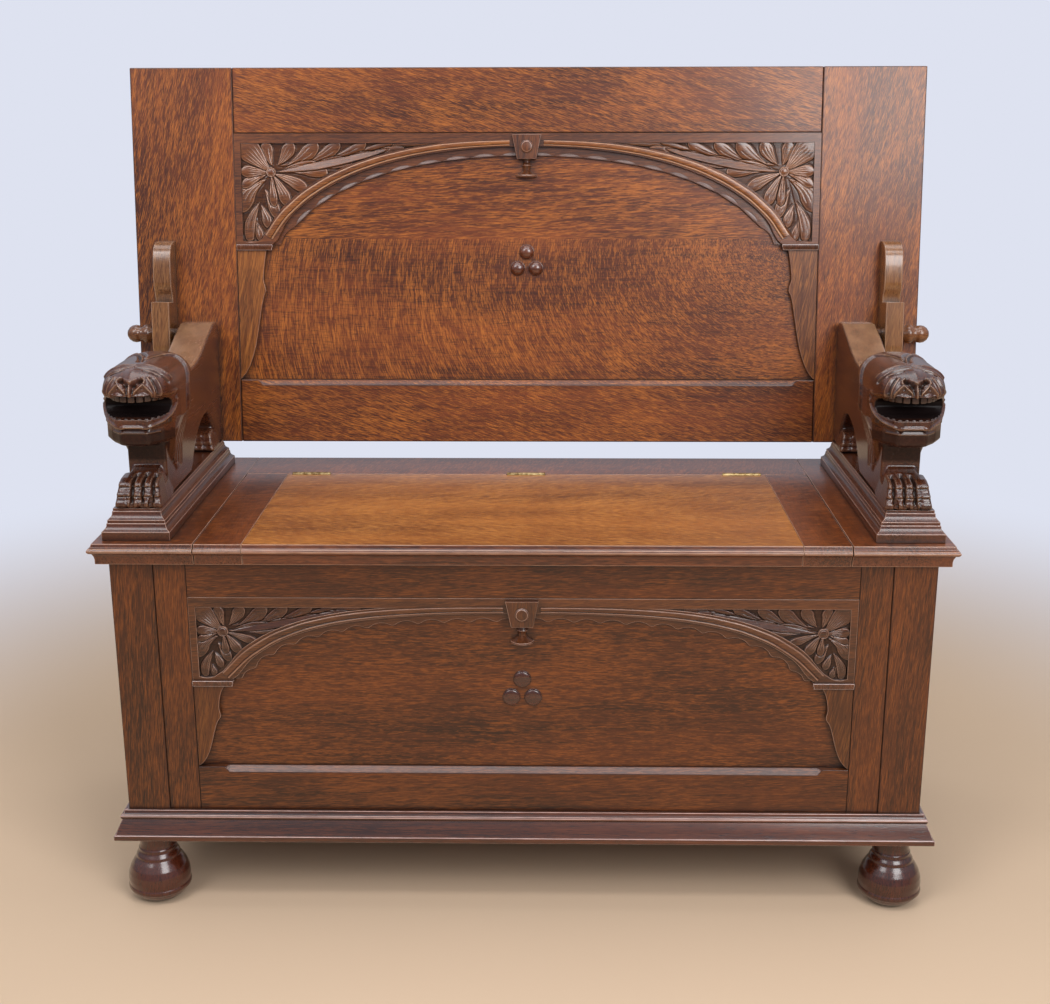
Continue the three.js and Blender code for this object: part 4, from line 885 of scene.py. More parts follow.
def spandrel_leaves(kind, side):
    """The carved leaves in one sunk corner, as a closed sheet."""
    pocket = POCKETS[kind]
    word = "left" if side < 0 else "right"
    span = float(pocket.rim[-1, 0]) - 4
    columns = int(span / CARVING_STEP)
    a = np.linspace(CARVING_GAP, span, columns)
    depth = np.interp(a, pocket.rim[:, 0], pocket.rim[:, 1]) - CARVING_GAP
    rows = np.linspace(0, 1, CARVING_ROWS)
    grid_a = np.repeat(a, CARVING_ROWS)
    grid_b = (CARVING_GAP + np.outer(depth - CARVING_GAP, rows)).ravel()
    height = carving_height(kind, grid_a, grid_b)
    top = pocket.place(grid_a, grid_b, height, side)
    level = height.reshape(columns, CARVING_ROWS)
    # Painted shade on the low ground between the leaves; painted highlight, with wear, along their crests.
    low = np.clip((1.9 - level) / 1.5, 0, 1) * 0.55
    bend = level * 0
    bend[1:-1, 1:-1] = (
        4 * level[1:-1, 1:-1] - level[2:, 1:-1] - level[:-2, 1:-1] - level[1:-1, 2:] - level[1:-1, :-2]
    )
    crest_highlight = 0.7 * np.clip((bend - 0.14) / 0.5, 0, 1) * np.clip((level - 1.2) / 1.0, 0, 1)
    ends_b = np.column_stack([np.full(columns, CARVING_GAP), depth]).ravel()
    under = pocket.place(np.repeat(a, 2), ends_b, np.full(2 * columns, -0.4), side)
    base = len(top)
    n = CARVING_ROWS
    faces = []
    for i in range(columns - 1):
        near, far = i * n, (i + 1) * n
        faces += [(near + j, near + j + 1, far + j + 1, far + j) for j in range(n - 1)]
        g, h = base + 2 * i, base + 2 * i + 2
        faces.append((near, far, h, g))
        faces.append((near + n - 1, g + 1, h + 1, far + n - 1))
        faces.append((g, h, h + 1, g + 1))
    last = (columns - 1) * n
    faces.append([base, base + 1] + [n - 1 - j for j in range(n)])
    faces.append([base + 2 * columns - 1, base + 2 * columns - 2] + [last + j for j in range(n)])
    mesh = closed_sheet(f"leaves_{kind}_{word}", np.vstack([top, under]), faces, 65)
    none = np.zeros(2 * columns)
    write_share(mesh, "shade", np.concatenate([low.ravel(), none]))
    write_share(mesh, "wear", np.concatenate([crest_highlight.ravel(), none]))
    write_grain(mesh, pocket.axes, False, mesh.name)
    mount(mesh, mesh.name, pocket.prefix + "leaves", pocket.node)


# The raised band of each arch: its middle line in the pocket's millimetres, and its half width there.
BANDS = {
    "top": [(36, 125, 6.0), (55.1, 97.1, 6.0), (85.2, 70, 5.7), (119.2, 49.1, 5.4), (155.5, 33.1, 5.1),
            (193.1, 21.1, 4.8), (231.5, 12.3, 4.5), (270.1, 6.2, 4.2), (309, 2.6, 3.9), (348, 0.8, 3.6),
            (364, 0.4, 3.5)],
    "front": [(32, 86, 5.6), (58.1, 59.1, 5.8), (90.7, 37.9, 5.6), (126.4, 23.6, 5.3),
              (163.4, 14.4, 5.0), (200.7, 8.7, 4.7), (237.9, 5.4, 4.4), (275.4, 3.3, 4.1),
              (312.9, 2.1, 3.8), (350.2, 1.7, 3.5), (365.4, 1.6, 3.4)],
}
# The band's section: across as a share of its half width, height over the trim, and how rubbed it is, the
# rubbed arrises also taking a painted highlight.
BAND_SECTION = [
    (-1.0, -0.4, 0), (-1.0, 1.2, 0.3), (-0.94, 1.8, 1), (-0.8, 2.1, 1), (-0.6, 2.2, 0), (-0.1, 2.2, 0),
    (0.25, 2.1, 0), (0.38, 1.6, 0), (0.45, 0.7, 0), (0.54, 1.6, 0.4), (0.68, 1.9, 1), (0.86, 1.7, 1),
    (0.96, 1.1, 0.4), (1.0, -0.4, 0),
]
BAND_STEPS = 120
TRIM_RISE = 2.2


def arch_band(kind, side):
    """The moulded band along the arch's curve, swept from its foot to the keystone."""
    pocket = POCKETS[kind]
    word = "left" if side < 0 else "right"
    given = np.array(BANDS[kind], float)
    reach = np.concatenate([[0], np.cumsum(np.hypot(*np.diff(given[:, :2], axis=0).T))])
    at = np.linspace(0, reach[-1], BAND_STEPS)
    fit = [np.interp(at, reach, given[:, k]) for k in range(3)]
    kernel = np.hanning(15) / np.hanning(15).sum()
    for k in range(3):
        padded = np.concatenate([2 * fit[k][0] - fit[k][7:0:-1], fit[k], 2 * fit[k][-1] - fit[k][-2:-9:-1]])
        fit[k] = np.convolve(padded, kernel, "valid")
    line = np.column_stack(fit[:2])
    heading = np.gradient(line, axis=0)
    heading /= np.linalg.norm(heading, axis=1)[:, None]
    across = np.column_stack([-heading[:, 1], heading[:, 0]])
    section = np.array(BAND_SECTION, float)
    spots = line[:, None, :] + across[:, None, :] * (section[:, 0][None, :] * fit[2][:, None])[..., None]
    rise = np.tile(section[:, 1] + TRIM_RISE + pocket.deeper / MM, BAND_STEPS)
    co = pocket.place(spots[..., 0].ravel(), spots[..., 1].ravel(), rise, side)
    mesh = closed_sheet(f"band_{kind}_{word}", co, ring_faces(BAND_STEPS, len(section)), 50)
    write_share(mesh, "wear", np.tile(section[:, 2], BAND_STEPS))
    write_grain(mesh, pocket.axes, False, mesh.name)
    mount(mesh, mesh.name, pocket.prefix + "band", pocket.node)


for kind in POCKETS:
    for side in (-1, 1):
        spandrel_leaves(kind, side)
        arch_band(kind, side)


# A lion's carved lines, in millimetres: toward the bench's middle from the arm's middle, north and
# up, as they lie on the head. A mirrored line is cut on both sides of the face.
ARM_MIDDLE = 447.0
FACE_LINES = [
    # points, half width, height (under zero for a groove), mirrored
    # brow and the eye slit under it
    ([(0, -167, 675), (12, -169, 674), (24, -170, 671), (32, -169, 667), (37, -166, 660)], 1.7, 1.7, True),
    ([(2, -174, 672), (12, -176, 671), (23, -177, 668), (31, -176, 663), (36, -173, 656)], 1.7, -2.6, True),
    ([(12, -181, 669.5), (17, -183, 669), (23, -183, 666.5), (27, -181, 663)], 1.5, -2.4, True),
    # the hair's bands, from the parting over the head and down behind the cheek
    ([(1, -149, 676), (4, -135, 676), (9, -118, 676), (16, -103, 675), (25, -95, 672), (34, -97, 665),
      (40, -104, 655), (44, -113, 643), (44, -118, 628), (43, -120, 612)], 2.0, -3.4, True),
    ([(1, -143, 676), (4, -128, 676), (9, -111, 676), (16, -96, 675), (25, -88, 672), (35, -90, 664),
      (41, -97, 655), (44, -106, 643), (44, -111, 628), (43, -113, 612)], 1.8, 1.5, True),
    ([(1, -134, 676), (5, -119, 676), (11, -103, 676), (19, -89, 674), (28, -82, 669)], 1.4, -2.0, True),
    ([(1, -124, 676), (5, -110, 676), (12, -95, 676), (20, -82, 673)], 1.4, -1.6, True),
    ([(0, -153, 675), (0, -146, 676), (0, -130, 676)], 2.6, -4.0, False),
    # nose: tip, nostrils and the ridge between them
    ([(0, -186, 669), (0, -197, 665.5), (0, -203, 662)], 6.5, 2.0, False),
    ([(-7, -203, 664), (0, -205, 663.5), (7, -203, 664)], 4.0, 3.0, False),
    ([(12.5, -200, 665.5), (9.5, -202, 664), (6.5, -204, 662), (4.6, -205, 658.5)], 2.7, -5.2, True),
    ([(4.4, -205, 658), (3.6, -206, 652), (3.4, -206, 647)], 1.3, -2.4, True),
    ([(13.5, -198, 668.5), (16, -198, 664), (15.5, -200, 660.5)], 1.6, 1.8, True),
    ([(0, -205, 660), (0, -206, 654), (0, -206, 647)], 1.9, 2.2, False),
    # lip pads, their upper edges raised, and the folds beside them
    ([(3, -206, 647.5), (9, -205, 653.5), (15, -203, 659.5), (19, -201, 653), (23.5, -199, 647)],
     1.3, 1.8, True),
    ([(9, -206, 648.5), (15, -204, 651), (19, -202, 648.5)], 2.6, -1.2, True),
    ([(19.5, -196, 668), (22.5, -197, 661), (24.5, -197, 653), (25.5, -197, 646)], 1.6, 2.0, True),
    ([(23.5, -193, 667), (26.5, -194, 660), (28.5, -194, 652), (28.5, -194, 646)], 1.5, -2.2, True),
    ([(27, -189, 664), (30, -190, 657), (31, -190, 650), (31, -190, 645)], 1.5, 1.3, True),
    # lips: the lower lip's edge, the line under it and the chin's arris
    ([(43, -160, 634), (42.5, -166, 626), (40, -174, 619), (34, -184, 614), (28, -193, 611),
      (20, -199, 609.5), (8, -202, 609), (0, -202, 609)], 1.5, 1.6, True),
    ([(32, -188, 605.5), (24, -197, 605), (12, -201, 604.5), (0, -201, 604.5)], 1.6, -1.8, True),
    ([(30, -188, 600.8), (24, -196, 600.8), (0, -199, 600.8)], 1.1, 0.9, True),
    ([(43, -160, 645), (40, -172, 644), (35, -184, 644), (29, -192, 645)], 1.4, 1.0, True),
    # creases that run from the corner of the mouth
    ([(42, -157, 634), (42, -163, 631)], 0.9, -1.2, True),
    ([(42, -158, 629), (42, -164, 626.5)], 0.9, -1.2, True),
    ([(42, -157, 639), (41, -163, 637)], 0.9, -1.2, True),
]
# The toes' and knuckles' cuts on the front paw, outer side first.
PAW_LINES = [
    ([(-6.5, -174, 551), (-7, -190, 546), (-7.5, -203, 528), (-8.6, -206, 513)], 2.3, -6.0, False),
    ([(4.5, -172, 552), (4.5, -190, 546), (4.6, -203, 528), (3.0, -206, 513)], 2.3, -6.0, False),
    ([(16, -174, 551), (16.5, -190, 546), (16.8, -203, 528), (14, -204, 513)], 2.3, -6.0, False),
    ([(-25, -199, 536.5), (0, -200.5, 536), (26, -198, 536)], 1.6, -2.6, False),
    ([(-27, -203, 525.5), (0, -205, 525.5), (28, -202, 525)], 1.6, -2.8, False),
]
WHISKERS = [(14.5, -204, 654.5), (12, -205, 651.0), (17, -203, 651.0), (14.5, -204, 648.5)]
SIDE_STRANDS = [
    # mane strands that hang over the side behind the head, from the cheek down the leg
    [(42, -124, 604), (36, -128, 585), (30, -130, 566), (25, -126, 548)],
    [(41, -116, 604), (36, -119, 585), (30, -120, 566), (25, -117, 547)],
    [(44, -104, 640), (44, -108, 622), (42, -109, 603), (36, -109, 584), (30, -109, 565), (25, -107, 546)],
    [(42, -95, 640), (41, -98, 622), (39, -99, 602), (34, -99, 582), (28, -99, 562), (24, -99, 544)],
    [(38, -86, 640), (37, -88, 620), (35, -89, 600), (31, -90, 580), (26, -91, 560), (23, -93, 540)],
    [(32, -78, 636), (31, -80, 616), (29, -81, 596), (26, -82, 576), (23, -84, 556), (23, -87, 538)],
    [(26, -70, 630), (25, -72, 612), (24, -74, 594), (23, -76, 576), (23, -78, 556), (23, -82, 538)],
]
STROKE_STEP = 1.5


def along_path(points, step):
    """Points spaced along a path through the given ones."""
    points = np.array(points, float)
    sizes = np.linalg.norm(np.diff(points, axis=0), axis=1)
    reach = np.concatenate([[0], np.cumsum(sizes)])
    at = np.linspace(0, reach[-1], max(2, int(reach[-1] / step)))
    return np.column_stack([np.interp(at, reach, points[:, k]) for k in range(3)])


def on_lion(points, word, flip):
    """Lion millimetres as frame metres; flip mirrors the face about its own middle."""
    sign = 1 if word == "left" else -1
    points = np.atleast_2d(np.array(points, float)).copy()
    if flip:
        points[:, 0] *= -1
    points[:, 0] = sign * (points[:, 0] - ARM_MIDDLE)
    return points * MM


def cut_line(co, tree, points, half, height):
    """The points of the skin near a line laid on it, and how far the line raises or cuts each."""
    laid = np.array([tree.find_nearest(Vector(p))[0] for p in points])
    for j in range(len(laid) - 1):
        p, q = laid[j], laid[j + 1]
        low, high = np.minimum(p, q) - 3 * half * MM, np.maximum(p, q) + 3 * half * MM
        near = np.nonzero(np.all((co >= low) & (co <= high), axis=1))[0]
        if len(near):
            step = q - p
            size2 = max(float(step @ step), 1e-12)
            t = np.clip((co[near] - p) @ step / size2, 0, 1)
            gap = np.linalg.norm(co[near] - p - t[:, None] * step, axis=1) / (half * MM)
            yield near, height * MM * np.exp(-gap ** 2)


def carve_lines(co, normals, tree, lines, word):
    """All the lines at once: each point keeps the strongest cut and the strongest rise that reach it."""
    rise, cut = np.zeros(len(co)), np.zeros(len(co))
    for points, half, height, mirrored in lines:
        for flip in (False, True) if mirrored else (False,):
            path = on_lion(along_path(points, STROKE_STEP), word, flip)
            for near, change in cut_line(co, tree, path, half, height):
                if height > 0:
                    rise[near] = np.maximum(rise[near], change)
                else:
                    cut[near] = np.minimum(cut[near], change)
    return co + normals * (rise + cut)[:, None]


# The head above the mouth is drawn to a round form about this place, in lion millimetres.
HEAD_MIDDLE = np.array([0.0, -140.0, 640.0])
HEAD_HALF = np.array([43.5, 67.5, 36.8])
HEAD_REAR = 150.0
HEAD_POWER = 2.6
# How far the jaw narrows toward the front: rows, and its width there as a share.
JAW_ROWS = [-205, -195, -185, -175, -165, -150]
JAW_SHARES = [0.62, 0.67, 0.77, 0.87, 0.95, 1.0]


def smooth_step(value, low, high):
    t = np.clip((value - low) / (high - low), 0, 1)
    return t * t * (3 - 2 * t)


def head_shape(points):
    """Lion millimetres of the rough head moved to the rounder head with the narrow jaw."""
    points = np.array(points, float)
    share = np.interp(points[:, 1], JAW_ROWS, JAW_SHARES)
    low = smooth_step(-points[:, 2], -650, -641) * smooth_step(points[:, 2], 566, 582)
    jaw = points.copy()
    jaw[:, 0] *= 1 + (share - 1) * low
    away = jaw - HEAD_MIDDLE
    half = np.tile(HEAD_HALF, (len(jaw), 1))
    half[:, 1] = np.where(away[:, 1] > 0, HEAD_REAR, half[:, 1])
    size = (np.abs(away / half) ** HEAD_POWER).sum(axis=1) ** (1 / HEAD_POWER)
    size = np.maximum(size, 1e-6)
    drawn = HEAD_MIDDLE + away / size[:, None]
    pull = smooth_step(jaw[:, 2], 642.5, 648) * smooth_step(size, 0.66, 0.8)
    pull *= smooth_step(-jaw[:, 1], 74, 84)
    return jaw + (drawn - jaw) * pull[:, None]


LION_VOXEL = 1.7
FACE_RELIEF = 1.35
HEAD_REACH = -62.0
PAWS_TOP = 575.0
ARM_TOP = 676.5


def joined_lion(word):
    """The head and the trunk as one even mesh."""
    bm = bmesh.new()
    bm.from_mesh(frame["nodes"]["lion_head_" + word].data)
    bm.from_mesh(frame["nodes"]["lion_body_" + word].data)
    bmesh.ops.remove_doubles(bm, verts=bm.verts, dist=2e-6)
    mesh = bpy.data.meshes.new("lion_rough")
    bm.to_mesh(mesh)
    bm.free()
    rough = add_object("lion_rough", mesh)
    remesh = rough.modifiers.new("even_mesh", "REMESH")
    remesh.mode = "VOXEL"
    remesh.voxel_size = LION_VOXEL * MM
    soft = rough.modifiers.new("soft", "SMOOTH")
    soft.factor = 0.5
    soft.iterations = 2
    return finished_mesh(rough)


def ramp(value, start, length):
    """0 up to start, and 1 from start plus length on."""
    return np.clip((value - start) / length, 0, 1)


def mouth_shade(y, z, normals):
    """How black the lion is at each point: painted shade in the mouth, and painted shade under the chin down
    to the paws.
    """
    inside = ramp(y, -205, 3) * ramp(-y, 166, 4) * ramp(z, 616.5, 2) * ramp(-z, -641.5, 2)
    facing = np.clip(1 - np.abs(normals[:, 0]) * 1.2, 0, 1)
    under = ramp(-z, -603, 4) * ramp(z, 556, 4) * ramp(-y, 118, 6) * ramp(-normals[:, 1], 0.2, 0.3)
    return np.maximum(inside * np.clip(facing * 2, 0, 1), 0.7 * under)


def arm_rub_and_sheen(y, z, normals):
    """How rubbed the lion is at each point along the up-facing top of the arm, which also stands for a
    painted sheen.
    """
    return 0.5 * ramp(y, -75, 20) * ramp(normals[:, 2], 0.7, 0.2) * (z > 600)


def lion(word):
    carved = joined_lion(word)
    bm = bmesh.new()
    bm.from_mesh(carved)
    edges = [e for e in bm.edges if all(v.co.y < HEAD_REACH * MM for v in e.verts)]
    bmesh.ops.subdivide_edges(bm, edges=edges, cuts=1, use_grid_fill=True, smooth=1.0)
    bmesh.ops.triangulate(bm, faces=[f for f in bm.faces if len(f.verts) > 4])
    own = np.array([tuple(v.co) for v in bm.verts]) / MM
    sign = 1 if word == "left" else -1
    own[:, 0] = sign * own[:, 0] + ARM_MIDDLE
    own = head_shape(own)
    own[:, 0] = sign * (own[:, 0] - ARM_MIDDLE)
    for v, place in zip(bm.verts, own * MM):
        v.co = place
    skin = [v for v in bm.verts if v.co.y < HEAD_REACH * MM and v.co.z > PAWS_TOP * MM]
    bmesh.ops.smooth_vert(bm, verts=skin, factor=0.5, use_axis_x=True, use_axis_y=True, use_axis_z=True)
    bm.normal_update()
    tree = BVHTree.FromBMesh(bm)
    bm.to_mesh(carved)
    co = coordinates(carved)
    normals = np.array([tuple(v.normal) for v in bm.verts])
    bm.free()
    lines = [(path, half, height * FACE_RELIEF, mirrored) for path, half, height, mirrored in FACE_LINES]
    lines += PAW_LINES
    lines += [(strand, 1.6, -2.8, True) for strand in SIDE_STRANDS]
    co = carve_lines(co, normals, tree, lines, word)
    for dot in WHISKERS:
        for flip in (False, True):
            centre = np.array(tree.find_nearest(Vector(on_lion([dot], word, flip)[0]))[0])
            gap = np.linalg.norm(co - centre, axis=1) / (0.9 * MM)
            co -= normals * (1.3 * MM * np.exp(-gap ** 2))[:, None]
    co[:, 2] = np.minimum(co[:, 2], ARM_TOP * MM)
    carved.vertices.foreach_set("co", co.astype(np.float32).ravel())

    y, z = co[:, 1] / MM, co[:, 2] / MM
    write_share(carved, "wear", arm_rub_and_sheen(y, z, normals))
    write_share(carved, "shade", mouth_shade(y, z, normals))
    smooth_faces(carved)
    carved.name = "lion_" + word
    write_grain(carved, "y", False, carved.name)
    nodes = ["lion_head_" + word, "lion_body_" + word]
    mount(carved, "lion_" + word, "lion", nodes[0], nodes)


for word in WORDS:
    lion(word)


# Teeth repeat along a lip: Geometry Nodes set a small cut block at even steps of a bent line.
def teeth_tree(name):
    group = bpy.data.node_groups.new(name, "GeometryNodeTree")
    face = group.interface
    face.new_socket("Geometry", in_out="INPUT", socket_type="NodeSocketGeometry")
    for label, kind in (("Count", "Int"), ("Width", "Float"), ("Depth", "Float"), ("Height", "Float"),
                        ("Tip", "Float"), ("Wood", "Material")):
        face.new_socket(label, in_out="INPUT", socket_type="NodeSocket" + kind)
    face.new_socket("Geometry", in_out="OUTPUT", socket_type="NodeSocketGeometry")

    def node(kind, inputs=(), **settings):
        return add_node(group, kind, inputs, **settings)

    given = group.nodes.new("NodeGroupInput").outputs
    line = node("GeometryNodeMeshToCurve", {"Mesh": given["Geometry"]})
    spaced = node("GeometryNodeResampleCurve", {"Curve": line.outputs[0], "Count": given["Count"]})
    size = node("ShaderNodeCombineXYZ", {0: given["Width"], 1: given["Depth"], 2: given["Height"]})
    block = node("GeometryNodeMeshCube", {"Size": size.outputs[0], "Vertices X": 3, "Vertices Y": 3,
                                          "Vertices Z": 4})
    place = node("GeometryNodeInputPosition")
    parts = node("ShaderNodeSeparateXYZ", {0: place.outputs[0]})
    rise = node("ShaderNodeMath", {0: parts.outputs[2], 1: given["Height"]}, operation="DIVIDE")
    share = node("ShaderNodeMapRange", {"Value": rise.outputs[0], "From Min": -0.5, "From Max": 0.5,
                                        "To Min": 1.0, "To Max": given["Tip"]})
    narrow = node("ShaderNodeCombineXYZ", {0: share.outputs[0], 1: share.outputs[0], 2: 1.0})
    shaped = node("ShaderNodeVectorMath", {0: place.outputs[0], 1: narrow.outputs[0]},
                  operation="MULTIPLY")
    taper = node("GeometryNodeSetPosition", {"Geometry": block.outputs[0], "Position": shaped.outputs[0]})
    smooth = node("GeometryNodeSubdivisionSurface", {"Mesh": taper.outputs[0], "Level": 2})
    tangent = node("GeometryNodeInputTangent")
    turn = node("FunctionNodeAlignRotationToVector", {"Vector": tangent.outputs[0]}, axis="X",
                pivot_axis="Z")
    rows = node("GeometryNodeInstanceOnPoints", {"Points": spaced.outputs[0], "Instance": smooth.outputs[0],
                                                 "Rotation": turn.outputs[0]})
    real = node("GeometryNodeRealizeInstances", {0: rows.outputs[0]})
    painted = node("GeometryNodeSetMaterial", {"Geometry": real.outputs[0], "Material": given["Wood"]})
    out = group.nodes.new("NodeGroupOutput")
    group.links.new(painted.outputs[0], out.inputs[0])
    return group


TEETH = teeth_tree("teeth_along_a_lip")
# The upper teeth are square blocks under the lip, the lower ones points that stand on the lip band.
UPPER_LINE = [(-36, -170, 641), (-32, -184, 641), (-25, -193, 641.5), (-17, -198, 641.5), (0, -200, 641.5),
              (17, -198, 641.5), (25, -193, 641.5), (32, -184, 641), (36, -170, 641)]
LOWER_LINE = [(-42, -176, 615), (-38.5, -187, 614), (-32.5, -195, 613.5), (-24.5, -199, 613),
              (0, -200, 613), (24.5, -199, 613), (32.5, -195, 613.5), (38.5, -187, 614),
              (42, -176, 615)]
TOOTH_ROWS = [
    # line, count, width, depth, height, how wide the far end is as a share
    ("upper", UPPER_LINE, 11, 8.4, 4.0, 8.5, 0.92),
    ("lower", LOWER_LINE, 13, 7.4, 3.4, 11.0, 0.6),
]


def teeth(word):
    for row, line, count, width, depth, height, tip in TOOTH_ROWS:
        points = on_lion(head_shape(line), word, False)
        guide = bpy.data.meshes.new("lip_line")
        guide.from_pydata([tuple(p) for p in points], [(k, k + 1) for k in range(len(points) - 1)], [])
        obj = add_object("lip_line", guide)
        made = obj.modifiers.new("teeth", "NODES")
        made.node_group = TEETH
        values = {"Count": count, "Width": width * MM, "Depth": depth * MM, "Height": height * MM,
                  "Tip": tip, "Wood": finishes["teeth"]}
        for item in TEETH.interface.items_tree:
            if item.in_out == "INPUT" and item.name in values:
                made[item.identifier] = values[item.name]
        mesh = finished_mesh(obj)
        smooth_faces(mesh)
        name = f"{row}_teeth_{word}"
        write_grain(mesh, "z", False, name)
        mount(mesh, name, "teeth", "lion_head_" + word)


for word in WORDS:
    teeth(word)


# Three turned bosses stand on each panel: the node, then in millimetres the diameter and the height, the
# rim's share of the height, and the height of the node's own plain bosses.
BOSSES = {
    "top": ("top_panel", 19.0, 8.0, 0.2, 8.0),
    "front": ("front_panel", 20.0, 4.6, 0.5, 4.0),
}
BOSS_SPREAD, BOSS_RISE = 0.65, 0.58
BOSS_SIDES, BOSS_RINGS = 48, 12


def panel_bosses(kind):
    """The three bosses of a panel, each a low dome on a short rim with a fine step at its foot."""
    pocket = POCKETS[kind]
    node, diameter, height, rim_share, plain_height = BOSSES[kind]
    co = coordinates(frame["nodes"][node].data)
    start, up, off = (np.array(v) for v in (pocket.start, pocket.up, pocket.off))
    depth = (co - start) @ off
    # The bosses are the only part of the panel that stands in front of its face.
    tips = depth > depth.max() - 0.3 * MM
    face = depth.max() - plain_height * MM
    rise = (co[tips] - start) @ up
    middle = (rise.max() + rise.min()) / 2
    turn = np.linspace(0, 2 * math.pi, BOSS_SIDES, endpoint=False)
    r = diameter / 2
    profile = [(r + 0.9, -0.3), (r + 0.9, 0.5), (r + 0.5, 0.9), (r + 0.1, 0.9), (r, height * rim_share)]
    for k in range(1, BOSS_RINGS + 1):
        angle = k / (BOSS_RINGS + 1) * math.pi / 2
        profile.append((r * math.cos(angle), height * (rim_share + (1 - rim_share) * math.sin(angle))))
    points, faces = [], []
    for x, z in ((0, BOSS_RISE), (-BOSS_SPREAD, -BOSS_RISE), (BOSS_SPREAD, -BOSS_RISE)):
        base = len(points)
        centre = start + np.array(EAST) * (x * diameter * MM)
        centre = centre + up * (middle + (z * diameter) * MM) + off * face
        for radius, high in profile:
            points += [tuple(centre + (np.array(EAST) * (radius * math.cos(t)) + up * (radius * math.sin(t))
                                       + off * high) * MM) for t in turn]
        faces += ring_faces(len(profile), BOSS_SIDES, base)
    mesh = closed_sheet(f"bosses_{kind}", points, faces, 60)
    write_grain(mesh, pocket.axes, False, mesh.name)
    mount(mesh, mesh.name, pocket.prefix + "boss", node)


for kind in POCKETS:
    panel_bosses(kind)

# The points where the top arch's scallops meet, in the pocket's millimetres, foot to crown.
SCALLOP_POINTS = [(70.5, 110.4), (97.2, 85.9), (128.4, 66.3), (162.4, 50.9), (198.2, 39.0), (235.0, 30.2),
                  (272.6, 23.8), (310.5, 19.4), (348.7, 17.2), (387.0, 16.5)]
GOUGE_STEPS, GOUGE_RISE = 14, 4.9
GOUGE_LOW, GOUGE_HIGH, GOUGE_BACK = -6.0, -4.4, -8.4


def gouge_cuts(side):
    """The hollow that the gouge left in each scallop of the top's arch, in a pale finish that is a painted
    highlight.
    """
    pocket = POCKETS["top"]
    word = "left" if side < 0 else "right"
    t = np.linspace(0.04, 0.96, GOUGE_STEPS)
    points, faces = [], []
    for p, q in zip(SCALLOP_POINTS, SCALLOP_POINTS[1:]):
        p, q = np.array(p), np.array(q)
        chord = q - p
        out = np.array([chord[1], -chord[0]]) / np.hypot(*chord)
        low = p + chord * t[:, None]
        high = low + out * (GOUGE_RISE * np.sin(np.pi * t) ** 0.7)[:, None]
        rows = [(low, GOUGE_BACK), (low, GOUGE_HIGH), ((low + high) / 2, GOUGE_LOW + 0.3), (high, GOUGE_LOW),
                (high, GOUGE_BACK)]
        base, n = len(points), GOUGE_STEPS
        for place, level in rows:
            h = np.full(n, level + TRIM_RISE + pocket.deeper / MM)
            points += [tuple(v) for v in pocket.place(place[:, 0], place[:, 1], h, side)]
        m = len(rows)
        faces += [(base + i * n + j, base + i * n + j + 1, base + (i + 1) % m * n + j + 1,
                   base + (i + 1) % m * n + j) for i in range(m) for j in range(n - 1)]
        faces += [[base + i * n for i in range(m)], [base + i * n + n - 1 for i in reversed(range(m))]]
    mesh = closed_sheet(f"gouge_cuts_{word}", points, faces, 40)
    write_grain(mesh, "tx", False, mesh.name)
    mount(mesh, mesh.name, "lit_scallop", pocket.node)


for side in (-1, 1):
    gouge_cuts(side)


FLOOR, WALL = tone(212, 186, 160), tone(222, 226, 240)
FLOOR_NEAR, FLOOR_FAR, FLOOR_SIZE, FLOOR_LEVEL = 0.75, 2.0, 14.0, -0.0002


def floor_paint(name, near, far):
    """Floor colour round the bench that turns into the wall's colour farther off, to the camera only."""
    s = Shader(name)
    place = s.node("ShaderNodeTexCoord").outputs["Object"]
    mottle = s.noise(place, 3.0)
    paint = s.blend(s.span(mottle, 0.3, 0.7), near, tuple(c * 0.96 for c in near[:3]) + (1.0,))
    s.finish(Base_Color=paint, Roughness=0.8, Specular_IOR_Level=0.2)
    reach = s.node("ShaderNodeVectorMath", {0: place}, operation="LENGTH").outputs["Value"]
    away = s.node("ShaderNodeMapRange", {"Value": reach, "From Min": FLOOR_NEAR, "From Max": FLOOR_FAR},
                  interpolation_type="SMOOTHSTEP").outputs[0]
    seen = s.node("ShaderNodeLightPath").outputs["Is Camera Ray"]
    glow = s.node("ShaderNodeEmission", {"Color": far, "Strength": 1.0})
    both = s.node("ShaderNodeMixShader", {0: s.times(away, seen), 1: s.surface.outputs[0],
                                          2: glow.outputs[0]})
    s.tree.links.new(both.outputs[0], s.tree.nodes["Material Output"].inputs[0])
    return s.material


corner = FLOOR_SIZE / 2
ground = bpy.data.meshes.new("floor")
corners = [(x * corner, y * corner, FLOOR_LEVEL) for x, y in ((-1, -1), (1, -1), (1, 1), (-1, 1))]
ground.from_pydata(corners, [], [(0, 1, 2, 3)])
ground.materials.append(floor_paint("floor_paint", FLOOR, WALL))
floor = add_object("floor", ground)


def area_light(name, place, target, size, power):
    data = bpy.data.lights.new(name, "AREA")
    data.shape = "RECTANGLE"
    data.size, data.size_y = size
    data.energy = power
    obj = add_object(name, data)
    obj.location = place
    obj.rotation_euler = (Vector(target) - Vector(place)).to_track_quat("-Z", "Y").to_euler()


LIGHTS = [
    # name, place, what it points at, width and depth, power
    ("key", (1.35, -2.3, 1.9), (0, 0, 0.5), (1.5, 1.3), 47),
    ("fill", (-1.7, -2.1, 2.7), (0, 0, 0.5), (1.4, 1.4), 30),
    ("sky", (0, 0.2, 3.0), (0, 0, 0.5), (2.4, 1.4), 26),
    ("strip", (0, -1.55, 3.0), (0, -0.25, 0.3), (2.8, 0.4), 24),
]
for light in LIGHTS:
    area_light(*light)

# The wall is seen by the camera and in gloss, which sees it dimmer low down, as in a furnished room.
world = bpy.data.worlds.new("studio")
bpy.context.scene.world = world
world.use_nodes = True
tree = world.node_tree
tree.nodes.clear()


def world_node(kind, inputs=(), **settings):
    return add_node(tree, kind, inputs, **settings)


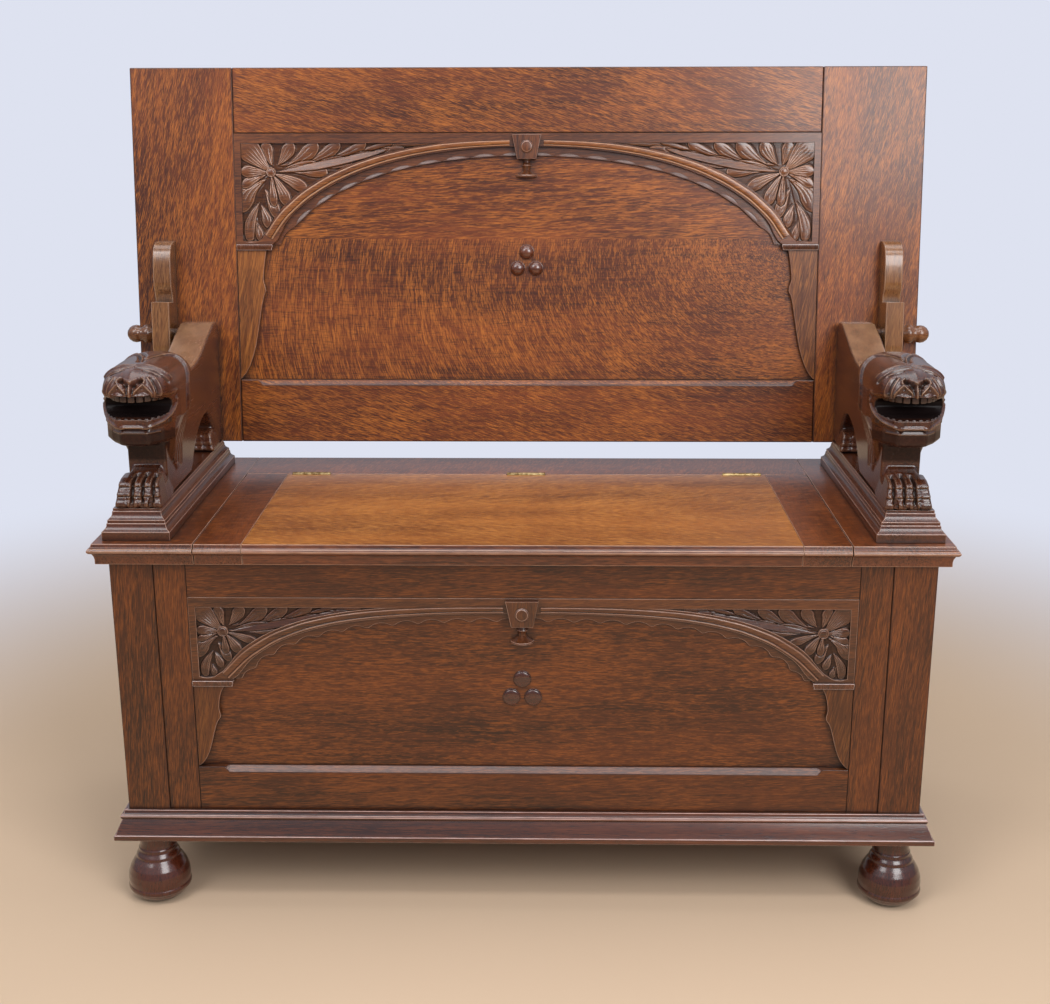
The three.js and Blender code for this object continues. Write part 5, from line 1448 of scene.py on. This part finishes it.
# The room is darker behind the bench, where it stands before a wall.
SOFT_LEVEL, SOFT_BEHIND = 0.42, 0.16
BEHIND_FROM, BEHIND_TO = -0.3, 0.6
GLOSS_HEIGHT, GLOSS_LOW = 0.55, 0.35
paths = world_node("ShaderNodeLightPath").outputs
heading = world_node("ShaderNodeTexCoord").outputs["Generated"]
toward = world_node("ShaderNodeSeparateXYZ", {0: heading}).outputs
height = toward[2]
ahead = world_node("ShaderNodeMapRange", {0: toward[1], 1: BEHIND_FROM, 2: BEHIND_TO, 3: SOFT_LEVEL,
                                          4: SOFT_BEHIND})
soft = world_node("ShaderNodeBackground", {0: (1, 1, 1, 1), 1: ahead.outputs[0]})
level = world_node("ShaderNodeMapRange", {0: height, 1: 0.0, 2: GLOSS_HEIGHT, 3: GLOSS_LOW,
                                          4: 1.0}).outputs[0]
mirrored = world_node("ShaderNodeBackground", {0: WALL, 1: level})
wall = world_node("ShaderNodeBackground", {0: WALL, 1: 1.0})
mirror_ray = world_node("ShaderNodeMath", {0: paths["Is Glossy Ray"], 1: paths["Is Transmission Ray"]},
                        operation="MAXIMUM").outputs[0]
first = world_node("ShaderNodeMixShader", {0: mirror_ray, 1: soft.outputs[0], 2: mirrored.outputs[0]})
second = world_node("ShaderNodeMixShader", {0: paths["Is Camera Ray"], 1: first.outputs[0],
                                            2: wall.outputs[0]})
world_node("ShaderNodeOutputWorld", {0: second.outputs[0]})

CAMERA_PLACE = (0.032956, -1.840590, 0.989337)
CAMERA_PITCH, CAMERA_YAW, CAMERA_ROLL = math.radians(74.0515), 0.017824, -0.00225
CAMERA_LENS, CAMERA_SENSOR = 50.3525, 36
lens = bpy.data.cameras.new("camera")
lens.lens = CAMERA_LENS
lens.sensor_width = CAMERA_SENSOR
camera = add_object("camera", lens)
camera.location = CAMERA_PLACE
turn = Matrix.Rotation(CAMERA_YAW, 3, "Z") @ Matrix.Rotation(CAMERA_PITCH, 3, "X")
camera.rotation_euler = (turn @ Matrix.Rotation(CAMERA_ROLL, 3, "Z")).to_euler()
bpy.context.scene.camera = camera
bpy.context.scene.view_settings.view_transform = "Standard"
